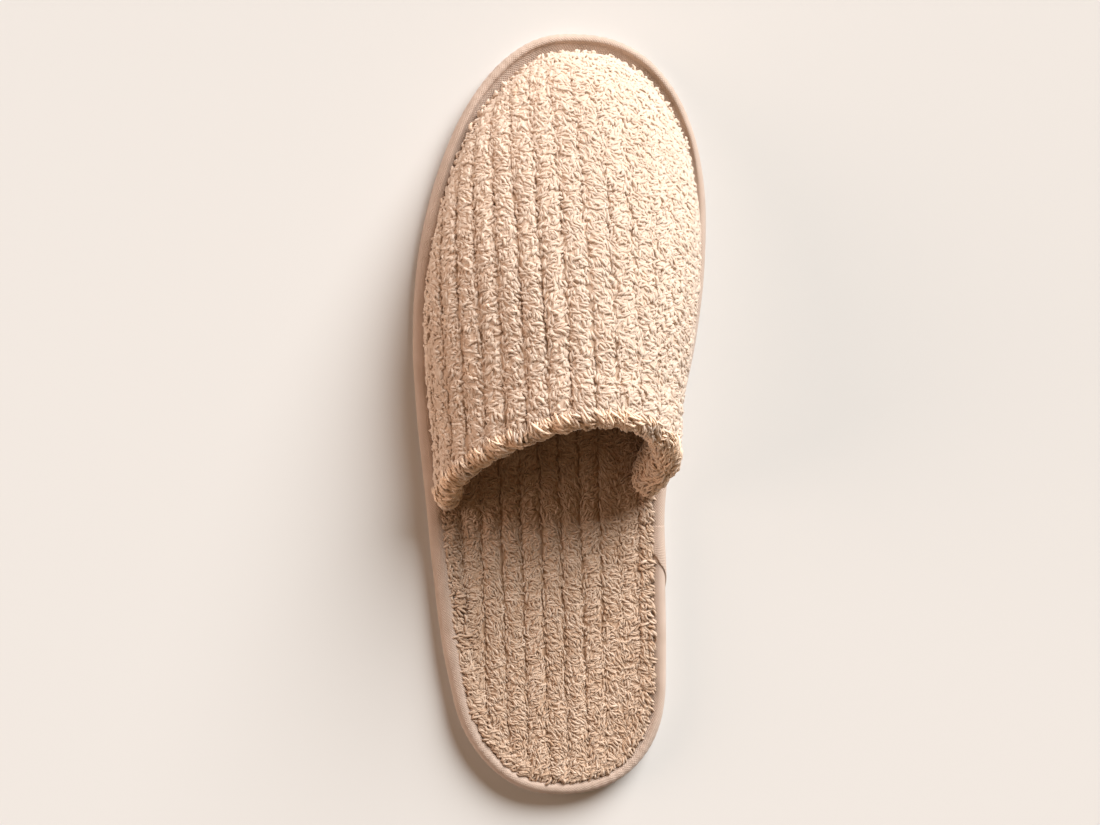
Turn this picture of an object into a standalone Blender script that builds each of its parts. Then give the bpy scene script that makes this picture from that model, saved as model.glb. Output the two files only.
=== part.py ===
"""Hotel slipper for the left foot, closed at the toe and open at the heel.

A flat foam outsole carries a plush insole and one arched plush upper. A woven
binding runs round the edge of the sole and holds the three together. The toe
points along +Y, the inner side of the foot is +X, and the slipper stands on
the plane Z = 0. Sizes are in millimetres until the meshes are made.
"""
import bmesh
import bpy
import numpy as np
from mathutils import Vector

MM = 0.001
GAP = 0.3

# Sole outline. The spine is a straight line through the middle of heel and toe.
HALF_LENGTH = 142.5
SOLE_WIDTH = 110.0
SIDE_ROWS = (
    # station, outer side, inner side: from the spine to the edge
    {"y": -105.0, "outer": 41.2, "inner": 39.5},
    {"y": -92.0, "outer": 44.4, "inner": 39.5},
    {"y": -60.0, "outer": 49.6, "inner": 38.3},
    {"y": -30.0, "outer": 53.3, "inner": 37.7},
    {"y": 0.0, "outer": 57.3, "inner": 42.4},
    {"y": 30.0, "outer": 59.4, "inner": 47.8},
    {"y": 60.0, "outer": 57.8, "inner": 50.4},
    {"y": 88.0, "outer": 51.8, "inner": 49.2},
)
END_CAPS = {
    # where the caps begin: how fast each side draws in, and how square the end is
    "outer": {"heel_slope": 0.22, "heel_power": 2.3, "toe_slope": -0.30, "toe_power": 2.6},
    "inner": {"heel_slope": 0.07, "heel_power": 2.3, "toe_slope": -0.15, "toe_power": 2.42},
}
REAR_STEPS = 19
FRONT_STEPS = 34
CURVE_POINTS = 300
SHARP_ANGLE = np.radians(50.0)

# Outsole: one foam sheet with a stitched, puffed border
OUTSOLE_TOP = 4.0
OUTSOLE_INSET = 2.2
BORDER_INSET = 0.9
BORDER_TOP = 1.7
STITCH_INSET = 6.4
STITCH_HALF_WIDTH = 0.8
STITCH_DEPTH = 0.7
OUTSOLE_PROFILE = (
    # from the field through the stitched groove and over the border up to the top face
    {"inset": STITCH_INSET + STITCH_HALF_WIDTH, "z": 0.0},
    {"inset": STITCH_INSET + 0.25 * STITCH_HALF_WIDTH, "z": STITCH_DEPTH},
    {"inset": STITCH_INSET - 0.25 * STITCH_HALF_WIDTH, "z": STITCH_DEPTH},
    {"inset": STITCH_INSET - STITCH_HALF_WIDTH, "z": 0.05},
    {"inset": 4.7, "z": 0.0},
    {"inset": 2.4, "z": 0.0},
    {"inset": 1.3, "z": 0.35},
    {"inset": BORDER_INSET, "z": 0.95},
    {"inset": 1.15, "z": BORDER_TOP},
    {"inset": OUTSOLE_INSET, "z": BORDER_TOP},
    {"inset": OUTSOLE_INSET, "z": OUTSOLE_TOP},
)

# Binding: woven tape rolled over the edge of the sole, wider round the toe
BINDING_WIDTH = 6.0
BINDING_TOP = 9.4
BINDING_LIP = BORDER_TOP + GAP
BINDING_BACK = OUTSOLE_INSET - GAP
BINDING_SHELF = OUTSOLE_TOP + GAP
TOE_WIDENING = 2.0
WIDENING_START_Y = 100.0
BINDING_PROFILE = (
    # from the lip below up the outer face, over the roll, down its long inner slope and
    # back on the flat shelf; share is how far each row moves with the widening
    {"inset": BINDING_BACK, "z": BINDING_LIP, "share": 0.0},
    {"inset": 0.9, "z": BINDING_LIP, "share": 0.0},
    {"inset": 0.2, "z": 3.0, "share": 0.0},
    {"inset": 0.0, "z": 4.6, "share": 0.0},
    {"inset": 0.1, "z": 6.4, "share": 0.0},
    {"inset": 0.5, "z": 8.0, "share": 0.0},
    {"inset": 1.2, "z": 9.1, "share": 0.0},
    {"inset": 2.0, "z": BINDING_TOP, "share": 0.05},
    {"inset": 2.9, "z": 9.0, "share": 0.25},
    {"inset": 4.2, "z": 7.9, "share": 0.6},
    {"inset": BINDING_WIDTH, "z": 6.4, "share": 1.0},
    {"inset": BINDING_WIDTH, "z": BINDING_SHELF, "share": 1.0},
    {"inset": BINDING_BACK, "z": BINDING_SHELF, "share": 0.0},
)

# Insole: plush pad, crowned and round at its edge, narrower in front beside the upper
INSOLE_FLOOR = OUTSOLE_TOP + GAP
INSOLE_TOP = 9.6
INSOLE_CORNER = 1.8
INSOLE_CROWN = 2.8
INSOLE_CROWN_WIDTH = 26.0
INSOLE_STEPS = (0.0, 0.3 * INSOLE_CORNER, INSOLE_CORNER, 8.0, 16.0, 24.0)

# Upper: one hollow plush shell with a rolled collar
WALL = 4.6
WALL_FOOT = OUTSOLE_TOP + GAP
WALL_TURN = BINDING_TOP + GAP
COLLAR_FOOT_Y = {"outer": -34.0, "inner": -27.0}
STEP_IN_BEHIND = 3.6
STEP_OUT_BEHIND = 6.0
COLLAR_CREST_Y = 1.0
COLLAR_SWELL_OUT = 1.2
COLLAR_SWELL_IN = 3.4
COLLAR_INNER_SIDE_EXTRA = 2.8
COLLAR_EXTRA_DROP = 20.0
COLLAR_LENGTH = 17.0
COLLAR_FULL_SHARE = 0.35
COLLAR_FOOT_RISE = 4.0
RIM_STEPS = 4
ARCH_COLUMNS = 17
TOE_START = 0.45
RIDGE_CROWDING = 1.5
RIDGE_ROWS = (
    # station, height of the ridge and its distance from the middle
    {"y": 0.0, "height": 60.0, "x": 8.5},
    {"y": 25.0, "height": 58.3, "x": 8.0},
    {"y": 50.0, "height": 54.6, "x": 7.2},
    {"y": 75.0, "height": 49.2, "x": 6.2},
    {"y": 98.0, "height": 42.8, "x": 5.2},
)
ARCH_ROWS = (
    # y is here the share of the way from collar to toe: how square each side of
    # the arch is, and how far it bulges outwards over its foot
    {"y": 0.0, "outer_power": 1.68, "inner_power": 2.8, "outer_bulge": 3.8, "inner_bulge": 5.4},
    {"y": 0.3, "outer_power": 1.75, "inner_power": 2.6, "outer_bulge": 4.2, "inner_bulge": 2.2},
    {"y": 0.6, "outer_power": 2.0, "inner_power": 2.4, "outer_bulge": 2.8, "inner_bulge": 1.2},
    {"y": 1.0, "outer_power": 2.3, "inner_power": 2.3, "outer_bulge": 0.6, "inner_bulge": 0.6},
)


def column(rows, name):
    """One named column of a table as an array."""
    return np.array([row[name] for row in rows])


def smooth_curve(rows, name, y, start_slope=None, end_slope=None):
    """Cubic curve through one column of a table, read at the stations y, straight past its ends."""
    stations = column(rows, "y")
    values = column(rows, name)
    slopes = np.gradient(values, stations)
    if start_slope is not None:
        slopes[0] = start_slope
    if end_slope is not None:
        slopes[-1] = end_slope
    inside = np.clip(y, stations[0], stations[-1])
    cell = np.clip(np.searchsorted(stations, inside) - 1, 0, len(stations) - 2)
    span = stations[cell + 1] - stations[cell]
    t = (inside - stations[cell]) / span
    rise = values[cell + 1] - values[cell]
    start = slopes[cell] * span
    end = slopes[cell + 1] * span
    curve = (values[cell] + start * t + (3 * rise - 2 * start - end) * t ** 2
             + (start + end - 2 * rise) * t ** 3)
    beyond = y - inside
    return curve + beyond * np.where(beyond < 0.0, slopes[0], slopes[-1])


def smooth_step(t):
    """0 to 1 with level ends."""
    t = np.clip(t, 0.0, 1.0)
    return t * t * (3.0 - 2.0 * t)


def cap_curve(reach, slope, power, start_y, end_y):
    """Rounded end of the sole: a superellipse quarter that leans with the side it joins."""
    angle = np.linspace(0.0, np.pi / 2, CURVE_POINTS)
    across = np.cos(angle) ** (2.0 / power)
    along = np.sin(angle) ** (2.0 / power)
    y = start_y + (end_y - start_y) * along
    return (reach + slope * (y - start_y)) * across, y


def half_outline(side):
    """One side of the sole's edge from the heel end to the toe tip.

    Its points are evenly spaced behind and in front of the upper's foot, with
    two more just behind that foot, where the insole steps in.
    """
    first, last, cap = SIDE_ROWS[0], SIDE_ROWS[-1], END_CAPS[side]
    y = np.linspace(first["y"], last["y"], CURVE_POINTS)
    reach = smooth_curve(SIDE_ROWS, side, y, cap["heel_slope"], cap["toe_slope"])
    heel_reach, heel_y = cap_curve(first[side], cap["heel_slope"], cap["heel_power"],
                                   first["y"], -HALF_LENGTH)
    toe_reach, toe_y = cap_curve(last[side], cap["toe_slope"], cap["toe_power"],
                                 last["y"], HALF_LENGTH)
    reach = np.concatenate([heel_reach[:0:-1], reach, toe_reach[1:]])
    y = np.concatenate([heel_y[:0:-1], y, toe_y[1:]])
    length = np.concatenate([[0.0], np.cumsum(np.hypot(np.diff(reach), np.diff(y)))])
    foot_y = COLLAR_FOOT_Y[side]
    marks_y = [foot_y - STEP_OUT_BEHIND, foot_y - STEP_IN_BEHIND, foot_y]
    step_out, step_in, foot = np.interp(marks_y, y, length)
    rear = np.linspace(0.0, step_out, REAR_STEPS + 1)
    front = np.linspace(foot, length[-1], FRONT_STEPS + 1)
    marks = np.concatenate([rear, [step_in], front])
    return np.interp(marks, length, reach), np.interp(marks, length, y)


def sole_outline():
    """Closed edge of the sole: up the inner side, down the outer side, with inward normals."""
    inner_reach, inner_y = half_outline("inner")
    outer_reach, outer_y = half_outline("outer")
    x = np.concatenate([inner_reach, -outer_reach[-2:0:-1]])
    y = np.concatenate([inner_y, outer_y[-2:0:-1]])
    x = (x - (x.max() + x.min()) / 2) * SOLE_WIDTH / (x.max() - x.min())
    edge = np.stack([x, y], axis=1)
    along = np.roll(edge, -1, axis=0) - np.roll(edge, 1, axis=0)
    along /= np.linalg.norm(along, axis=1, keepdims=True)
    inward = np.stack([-along[:, 1], along[:, 0]], axis=1)
    return edge, inward


EDGE, INWARD = sole_outline()
OUTLINE_POINTS = len(EDGE)
TOE = OUTLINE_POINTS // 2


def ring(inset, z):
    """Outline moved inwards by inset, one value or one for each point, at height z."""
    inset = np.broadcast_to(inset, OUTLINE_POINTS)[:, None]
    level = np.broadcast_to(z, OUTLINE_POINTS)[:, None]
    return np.hstack([EDGE + INWARD * inset, level])


def widening():
    """How much wider than at its sides the binding is at every outline point."""
    along_toe = (EDGE[:, 1] - WIDENING_START_Y) / (HALF_LENGTH - WIDENING_START_Y)
    return TOE_WIDENING * smooth_step(along_toe)


def add_object(name, bm, colour, roughness):
    """Turn a bmesh in millimetres into a named object with its own material."""
    bmesh.ops.recalc_face_normals(bm, faces=bm.faces)
    bmesh.ops.scale(bm, vec=Vector((MM, MM, MM)), verts=bm.verts)
    mesh = bpy.data.meshes.new(name)
    bm.to_mesh(mesh)
    bm.free()
    mesh.shade_smooth()
    mesh.set_sharp_from_angle(angle=SHARP_ANGLE)
    material = bpy.data.materials.new(name)
    material.use_nodes = True
    shader = material.node_tree.nodes["Principled BSDF"]
    shader.inputs["Base Color"].default_value = (*colour, 1.0)
    shader.inputs["Roughness"].default_value = roughness
    shader.inputs["Metallic"].default_value = 0.0
    mesh.materials.append(material)
    obj = bpy.data.objects.new(name, mesh)
    bpy.context.scene.collection.objects.link(obj)
    return obj


def add_loop(bm, points):
    return [bm.verts.new(point) for point in points]


def bridge(bm, lower, upper):
    """Quads between two closed loops of the same length."""
    for k in range(len(lower)):
        n = (k + 1) % len(lower)
        bm.faces.new((lower[k], lower[n], upper[n], upper[k]))


def close_ladder(bm, loop):
    """Fill an outline loop with rungs from its inner side to its outer side."""
    count = len(loop)
    bm.faces.new((loop[0], loop[1], loop[count - 1]))
    for k in range(1, count // 2 - 1):
        bm.faces.new((loop[k], loop[k + 1], loop[count - k - 1], loop[count - k]))
    bm.faces.new((loop[count // 2 - 1], loop[count // 2], loop[count // 2 + 1]))


def stack_of_rings(rings, closed_profile):
    """Body made of rings one after another, closed on itself or by its two end faces."""
    bm = bmesh.new()
    loops = [add_loop(bm, points) for points in rings]
    for lower, upper in zip(loops, loops[1:]):
        bridge(bm, lower, upper)
    if closed_profile:
        bridge(bm, loops[-1], loops[0])
    else:
        close_ladder(bm, loops[0])
        close_ladder(bm, loops[-1])
    return bm


def make_outsole():
    """Foam sheet: stitched groove and rounded border below, plain face above."""
    rings = [ring(row["inset"], row["z"]) for row in OUTSOLE_PROFILE]
    bm = stack_of_rings(rings, closed_profile=False)
    return add_object("outsole", bm, (0.78, 0.77, 0.74), 0.65)


def make_binding():
    """Tape ring: a rounded roll on top of the edge with a lip down its outer face."""
    wider = widening()
    rings = [ring(row["inset"] + row["share"] * wider, row["z"]) for row in BINDING_PROFILE]
    bm = stack_of_rings(rings, closed_profile=True)
    return add_object("binding", bm, (0.56, 0.42, 0.33), 0.8)


def insole_inset():
    """Distance from the outline to the insole's edge: it steps in beside the upper's wall."""
    beside_binding = BINDING_WIDTH + GAP
    beside_upper = beside_binding + WALL + GAP
    inner_side = np.arange(OUTLINE_POINTS) < TOE
    foot_y = np.where(inner_side, COLLAR_FOOT_Y["inner"], COLLAR_FOOT_Y["outer"])
    step_y = foot_y - (STEP_IN_BEHIND + STEP_OUT_BEHIND) / 2
    return np.where(EDGE[:, 1] > step_y, beside_upper + widening(), beside_binding)


def insole_height(step):
    """Height of the pad's top at a distance from its edge: the crown less the rounded corner."""
    fall = INSOLE_CROWN * max(1.0 - step / INSOLE_CROWN_WIDTH, 0.0) ** 2
    corner = INSOLE_CORNER * (1.0 - smooth_step(step / INSOLE_CORNER))
    return INSOLE_TOP - fall - corner


def make_insole():
    """Plush pad: flat on the outsole, with a crowned top that is round at its edge."""
    inset = insole_inset()
    rings = [ring(inset, INSOLE_FLOOR)]
    rings += [ring(inset + step, insole_height(step)) for step in INSOLE_STEPS]
    bm = stack_of_rings(rings, closed_profile=False)
    return add_object("insole", bm, (0.52, 0.36, 0.26), 0.95)


def upper_feet():
    """Outline indices where the upper stands: outer collar foot, round the toe, inner foot."""
    side = TOE - FRONT_STEPS
    return np.arange(OUTLINE_POINTS - side, side - 1, -1)


def upper_surface():
    """Outer face of the upper as rows of arches from foot to ridge.

    The first and last rows are the two halves of the collar, the middle row is
    the middle of the toe, and every row meets its partner on the ridge.
    """
    feet = upper_feet()
    half = len(feet) // 2
    foot_inset = BINDING_WIDTH + GAP + widening()
    base = ring(foot_inset, WALL_TURN)[feet]
    outward = -INWARD[feet]
    forward = 1.0 - np.abs(np.arange(len(feet)) - half) / half
    inner_side = np.arange(len(feet)) > half
    toe_part = smooth_step((forward - TOE_START) / (1.0 - TOE_START))

    # the rows' ridge ends crowd together at the toe, so no crease runs down its middle
    reached = 1.0 - (1.0 - forward) ** RIDGE_CROWDING
    ridge_y = COLLAR_CREST_Y + (RIDGE_ROWS[-1]["y"] - COLLAR_CREST_Y) * reached
    ridge_x = smooth_curve(RIDGE_ROWS, "x", ridge_y)

    def by_side(name):
        outer_value = smooth_curve(ARCH_ROWS, "outer_" + name, forward, end_slope=0.0)
        inner_value = smooth_curve(ARCH_ROWS, "inner_" + name, forward, end_slope=0.0)
        return np.where(inner_side, inner_value, outer_value)[:, None]

    angle = np.linspace(0.0, np.pi / 2, ARCH_COLUMNS)[None, :]
    power = 2.0 / by_side("power")
    across = 1.0 - np.cos(angle) ** power
    up = np.sin(angle) ** power
    lean = toe_part[:, None]
    along = lean * across + (1.0 - lean) * up
    swell = by_side("bulge") * np.sin(np.pi * np.sqrt(angle / (np.pi / 2))) ** 2
    x = base[:, :1] + (ridge_x[:, None] - base[:, :1]) * across + outward[:, :1] * swell
    y = base[:, 1:2] + (ridge_y[:, None] - base[:, 1:2]) * along + outward[:, 1:2] * swell
    z = WALL_TURN + (smooth_curve(RIDGE_ROWS, "height", y) - WALL_TURN) * up
    arches = np.stack([x, y, z], axis=2)
    foot = ring(foot_inset, WALL_FOOT)[feet][:, None, :]
    return np.concatenate([foot, arches], axis=1)


def collar_swelling(surface):
    """Share of the collar's swelling at every point: full at the rim, none past its length."""
    step = np.linalg.norm(np.diff(surface, axis=0), axis=2)
    start = np.zeros((1, surface.shape[1]))
    from_outer = np.vstack([start, np.cumsum(step, axis=0)])
    from_inner = np.vstack([np.cumsum(step[::-1], axis=0)[::-1], start])
    depth = np.minimum(from_outer, from_inner) / COLLAR_LENGTH
    along = 1.0 - smooth_step((depth - COLLAR_FULL_SHARE) / (1.0 - COLLAR_FULL_SHARE))
    above_foot = smooth_step((surface[:, :, 2] - WALL_TURN) / COLLAR_FOOT_RISE)
    return along * above_foot


def swell_inwards(surface):
    """How far the full collar swells inwards: more where the inner side stands upright."""
    drop = surface[:, -1:, 2] - surface[:, :, 2]
    inner_side = (np.arange(len(surface)) > len(surface) // 2)[:, None]
    return COLLAR_SWELL_IN + COLLAR_INNER_SIDE_EXTRA * smooth_step(drop / COLLAR_EXTRA_DROP) * inner_side


def add_arches(bm, points):
    """Vertices for every arch; partner arches share the vertex where they meet on the ridge."""
    rows, columns = points.shape[:2]
    grid = [[bm.verts.new(point) for point in row[:-1]] for row in points]
    ridge = [bm.verts.new(row[-1]) for row in points[:(rows + 1) // 2]]
    for j, row in enumerate(grid):
        row.append(ridge[min(j, rows - 1 - j)])
    return grid


def skin_arches(bm, grid):
    """Faces between neighbouring arches, triangles where two corners are one on the ridge."""
    for row, after in zip(grid, grid[1:]):
        for i in range(len(row) - 1):
            corners = [row[i], after[i], after[i + 1], row[i + 1]]
            bm.faces.new(list(dict.fromkeys(corners)))


def arch_normals(grid):
    """Unit normal of the outer face at every vertex, level where the wall stands upright."""
    normals = {}
    for row in grid:
        for i, vert in enumerate(row):
            normal = vert.normal.copy()
            if i <= 1:
                normal.z = 0.0
            normals[vert] = normal.normalized()
    return normals


def roll_rim(bm, outer, inner):
    """Half circles from the outer face to the inner face all along the collar."""
    outer_line = outer[0] + outer[-1][-2::-1]
    inner_line = inner[0] + inner[-1][-2::-1]
    ahead_line = outer[1] + outer[-2][-2::-1]
    last = len(outer_line) - 1
    sections = []
    for k, (start, end, ahead) in enumerate(zip(outer_line, inner_line, ahead_line)):
        centre = (start.co + end.co) / 2
        across = (start.co - end.co) / 2
        tangent = outer_line[min(k + 1, last)].co - outer_line[max(k - 1, 0)].co
        back = across.cross(tangent.normalized())
        if back.dot(ahead.co - start.co) > 0.0:
            back.negate()
        if k <= 1 or k >= last - 1:
            back.z = 0.0
        back = back.normalized() * across.length
        turns = [np.pi * step / (RIM_STEPS + 1) for step in range(1, RIM_STEPS + 1)]
        round_part = [bm.verts.new(centre + across * np.cos(t) + back * np.sin(t)) for t in turns]
        sections.append([start, *round_part, end])
    for first, second in zip(sections, sections[1:]):
        for k in range(len(first) - 1):
            bm.faces.new((first[k], first[k + 1], second[k + 1], second[k]))
    bm.faces.new(sections[0])
    bm.faces.new(sections[-1])


def make_upper():
    """Hollow shell: outer face, rolled collar rim, inner face and a flat lower edge."""
    surface = upper_surface()
    swelling = collar_swelling(surface)
    bm = bmesh.new()
    outer = add_arches(bm, surface)
    skin_arches(bm, outer)
    bmesh.ops.recalc_face_normals(bm, faces=bm.faces)
    bm.normal_update()
    if outer[len(outer) // 2][1].normal.y < 0.0:
        bmesh.ops.reverse_faces(bm, faces=bm.faces)
        bm.normal_update()
    normals = arch_normals(outer)
    unit = np.array([[normals[vert] for vert in row] for row in outer])

    inner = add_arches(bm, surface - unit * (WALL + swell_inwards(surface) * swelling)[:, :, None])
    skin_arches(bm, inner)
    swollen = surface + unit * (COLLAR_SWELL_OUT * swelling)[:, :, None]
    for row, points in zip(outer, swollen):
        for vert, point in zip(row, points):
            vert.co = point
    for j in range(len(outer) - 1):
        bm.faces.new((outer[j][0], inner[j][0], inner[j + 1][0], outer[j + 1][0]))
    roll_rim(bm, outer, inner)
    return add_object("upper", bm, (0.72, 0.53, 0.40), 0.95)


def clear_scene():
    for obj in list(bpy.data.objects):
        bpy.data.objects.remove(obj, do_unlink=True)


clear_scene()
make_outsole()
make_binding()
make_insole()
make_upper()
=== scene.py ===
import bmesh
import bpy
import numpy as np
from mathutils import Matrix, Vector


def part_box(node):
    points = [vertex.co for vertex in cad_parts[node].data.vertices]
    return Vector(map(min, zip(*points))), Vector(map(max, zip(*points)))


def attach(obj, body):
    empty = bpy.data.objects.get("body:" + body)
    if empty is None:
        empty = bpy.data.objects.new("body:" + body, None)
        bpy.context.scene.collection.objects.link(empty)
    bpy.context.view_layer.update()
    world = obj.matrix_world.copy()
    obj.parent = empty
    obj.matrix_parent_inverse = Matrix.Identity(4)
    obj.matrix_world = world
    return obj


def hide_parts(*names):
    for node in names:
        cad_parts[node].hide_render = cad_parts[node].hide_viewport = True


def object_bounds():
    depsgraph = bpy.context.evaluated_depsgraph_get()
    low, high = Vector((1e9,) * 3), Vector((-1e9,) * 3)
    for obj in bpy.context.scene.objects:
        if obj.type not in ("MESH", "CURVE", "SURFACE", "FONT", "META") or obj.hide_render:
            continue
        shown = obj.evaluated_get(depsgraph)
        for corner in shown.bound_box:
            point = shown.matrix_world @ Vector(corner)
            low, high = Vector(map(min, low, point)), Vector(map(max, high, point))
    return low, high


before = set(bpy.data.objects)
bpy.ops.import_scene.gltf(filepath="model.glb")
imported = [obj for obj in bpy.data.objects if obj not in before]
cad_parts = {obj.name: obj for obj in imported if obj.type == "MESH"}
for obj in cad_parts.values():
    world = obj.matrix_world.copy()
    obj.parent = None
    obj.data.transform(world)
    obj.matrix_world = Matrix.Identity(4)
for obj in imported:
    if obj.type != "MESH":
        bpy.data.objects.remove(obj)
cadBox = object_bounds()

mm = 0.001
gap = 0.3                                   # between pieces that touch
quarterTurn = np.pi / 2
tiny = 1e-9                                 # keeps divisors and turns off zero
mergeDistance = 1e-6                        # metres


def topOf(node):
    # height of a node's top in millimetres
    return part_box(node)[1].z / mm


def bottomOf(node):
    # height of a node's underside in millimetres
    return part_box(node)[0].z / mm


def smoothStep(t):
    # 0 to 1 with level ends: 3 t^2 - 2 t^3
    t = np.clip(t, 0.0, 1.0)
    return t * t * (3.0 - 2.0 * t)


def easeBetween(value, start, end):
    # smooth step while a value runs from start to end
    return smoothStep((value - start) / (end - start))


def smoothCurve(rows, name, y, startSlope=None, endSlope=None):
    # cubic Hermite curve through one column of a table over its column "y", straight past its ends
    stations = np.array([row["y"] for row in rows])
    values = np.array([row[name] for row in rows])
    slopes = np.gradient(values, stations)
    if startSlope is not None:
        slopes[0] = startSlope
    if endSlope is not None:
        slopes[-1] = endSlope
    inside = np.clip(y, stations[0], stations[-1])
    cell = np.clip(np.searchsorted(stations, inside) - 1, 0, len(stations) - 2)
    span = stations[cell + 1] - stations[cell]
    t = (inside - stations[cell]) / span
    rise = values[cell + 1] - values[cell]
    start = slopes[cell] * span
    end = slopes[cell + 1] * span
    curve = (values[cell] + start * t + (3 * rise - 2 * start - end) * t ** 2
             + (start + end - 2 * rise) * t ** 3)
    beyond = y - inside
    return curve + beyond * np.where(beyond < 0.0, slopes[0], slopes[-1])


def softNoise(u, v, wavelength, rng, waves=8):
    # smooth random field, about -1 to 1: sine waves of near wavelengths in random directions
    total = 0.0
    for _ in range(waves):
        angle, phase = rng.uniform(0.0, 2.0 * np.pi, 2)
        pace = 2.0 * np.pi / (wavelength * rng.uniform(0.7, 1.5))
        total = total + np.sin(pace * (np.cos(angle) * u + np.sin(angle) * v) + phase)
    return total / np.sqrt(waves)


sole = {
    "halfLength": (cadBox[1][1] - cadBox[0][1]) / 2 / mm,
    "width": (cadBox[1][0] - cadBox[0][0]) / mm,
    # station, then the distance from the spine to the edge on either side
    "rows": (
        {"y": -105.0, "outer": 41.2, "inner": 39.5},
        {"y": -92.0, "outer": 44.4, "inner": 39.5},
        {"y": -60.0, "outer": 49.6, "inner": 38.3},
        {"y": -30.0, "outer": 53.3, "inner": 37.7},
        {"y": 0.0, "outer": 57.3, "inner": 42.4},
        {"y": 30.0, "outer": 59.4, "inner": 47.8},
        {"y": 60.0, "outer": 57.8, "inner": 50.4},
        {"y": 88.0, "outer": 51.8, "inner": 49.2},
    ),
    # how fast each side draws in where its end caps begin, and how square the caps are
    "caps": {
        "outer": {"heelSlope": 0.22, "heelPower": 2.3, "toeSlope": -0.30, "toePower": 2.6},
        "inner": {"heelSlope": 0.07, "heelPower": 2.3, "toeSlope": -0.15, "toePower": 2.42},
    },
    "samples": 2400,
    "sidePoints": 300,
    "capPoints": 200,
    "tangentSpan": 4,
    # the bound edge is wider round the toe than at the sides, from this station on
    "toeWidening": 2.0,
    "wideningStart": 100.0,
}


def widening(y):
    # how much wider than at its sides the bound edge is at a station, by a smooth step
    return sole["toeWidening"] * easeBetween(y, sole["wideningStart"], sole["halfLength"])


def capCurve(reach, slope, power, startY, endY):
    # rounded end of the sole: a superellipse quarter that leans with the side it joins
    angle = np.linspace(0.0, quarterTurn, sole["capPoints"])
    across = np.cos(angle) ** (2.0 / power)
    along = np.sin(angle) ** (2.0 / power)
    y = startY + (endY - startY) * along
    return (reach + slope * (y - startY)) * across, y


def halfEdge(side):
    # one side of the edge from heel tip to toe tip: cap, cubic curve through the rows, cap
    first, last, cap = sole["rows"][0], sole["rows"][-1], sole["caps"][side]
    y = np.linspace(first["y"], last["y"], sole["sidePoints"])
    reach = smoothCurve(sole["rows"], side, y, cap["heelSlope"], cap["toeSlope"])
    heelReach, heelY = capCurve(first[side], cap["heelSlope"], cap["heelPower"],
                                first["y"], -sole["halfLength"])
    toeReach, toeY = capCurve(last[side], cap["toeSlope"], cap["toePower"],
                              last["y"], sole["halfLength"])
    return (np.concatenate([heelReach[:0:-1], reach, toeReach[1:]]),
            np.concatenate([heelY[:0:-1], y, toeY[1:]]))


def closedEdge():
    # the whole edge by arc length from the heel tip, up the inner side and down the outer side
    innerReach, innerY = halfEdge("inner")
    outerReach, outerY = halfEdge("outer")
    x = np.concatenate([innerReach, -outerReach[-2::-1]])
    y = np.concatenate([innerY, outerY[-2::-1]])
    x = (x - (x.max() + x.min()) / 2) * sole["width"] / (x.max() - x.min())
    length = np.concatenate([[0.0], np.cumsum(np.hypot(np.diff(x), np.diff(y)))])
    toe = length[len(innerReach) - 1]
    s = np.linspace(0.0, length[-1], sole["samples"], endpoint=False)
    x, y = np.interp(s, length, x), np.interp(s, length, y)
    alongX, alongY = (np.roll(values, -sole["tangentSpan"]) - np.roll(values, sole["tangentSpan"])
                      for values in (x, y))
    size = np.hypot(alongX, alongY)
    return {"s": s, "x": x, "y": y, "inX": -alongY / size, "inY": alongX / size,
            "length": length[-1], "toe": toe}


edge = closedEdge()
print(f"edge of the sole: {edge['length']:.0f} mm round")


def edgeAt(s, inset=0.0):
    # point at arc length s moved inwards by inset, and the inward direction there
    x, y, inX, inY = (np.interp(s, edge["s"], edge[name], period=edge["length"])
                      for name in ("x", "y", "inX", "inY"))
    return x + inX * inset, y + inY * inset, inX, inY


def edgeLengthAt(side, y):
    # arc length at which one side of the edge passes the station y
    inner = edge["s"] <= edge["toe"]
    if side == "inner":
        return np.interp(y, edge["y"][inner], edge["s"][inner])
    return np.interp(y, edge["y"][~inner][::-1], edge["s"][~inner][::-1])


def gridQuads(rows, columns, closeRows=False, closeColumns=False):
    # corner numbers of the quads of a grid of rows x columns points, closed on itself if asked
    i = np.arange(rows if closeRows else rows - 1)[:, None]
    j = np.arange(columns if closeColumns else columns - 1)[None, :]
    nextI, nextJ = (i + 1) % rows, (j + 1) % columns
    corners = [i * columns + j, nextI * columns + j, nextI * columns + nextJ, i * columns + nextJ]
    return np.stack([np.broadcast_to(c, (i.size, j.size)) for c in corners], axis=-1).reshape(-1, 4)


def cornerUv(rowPlace, columnPlace):
    # texture place of every quad corner in the order of gridQuads, from places along both ways
    i = np.arange(len(rowPlace) - 1)[:, None]
    j = np.arange(len(columnPlace) - 1)[None, :]
    corners = [(i, j), (i + 1, j), (i + 1, j + 1), (i, j + 1)]
    return np.stack([np.stack(np.broadcast_arrays(rowPlace[a], columnPlace[b]), axis=-1)
                     for a, b in corners], axis=2).reshape(-1, 2)


def vertexNormals(points, quads):
    # sum of the normals of the quads round each point, from the cross product of their diagonals
    a, b, c, d = (points[quads[:, k]] for k in range(4))
    face = np.cross(c - a, d - b)
    normals = np.zeros_like(points)
    for k in range(4):
        for axis in range(3):
            normals[:, axis] += np.bincount(quads[:, k], face[:, axis], len(points))
    return normals / np.maximum(np.linalg.norm(normals, axis=1, keepdims=True), tiny)


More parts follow.
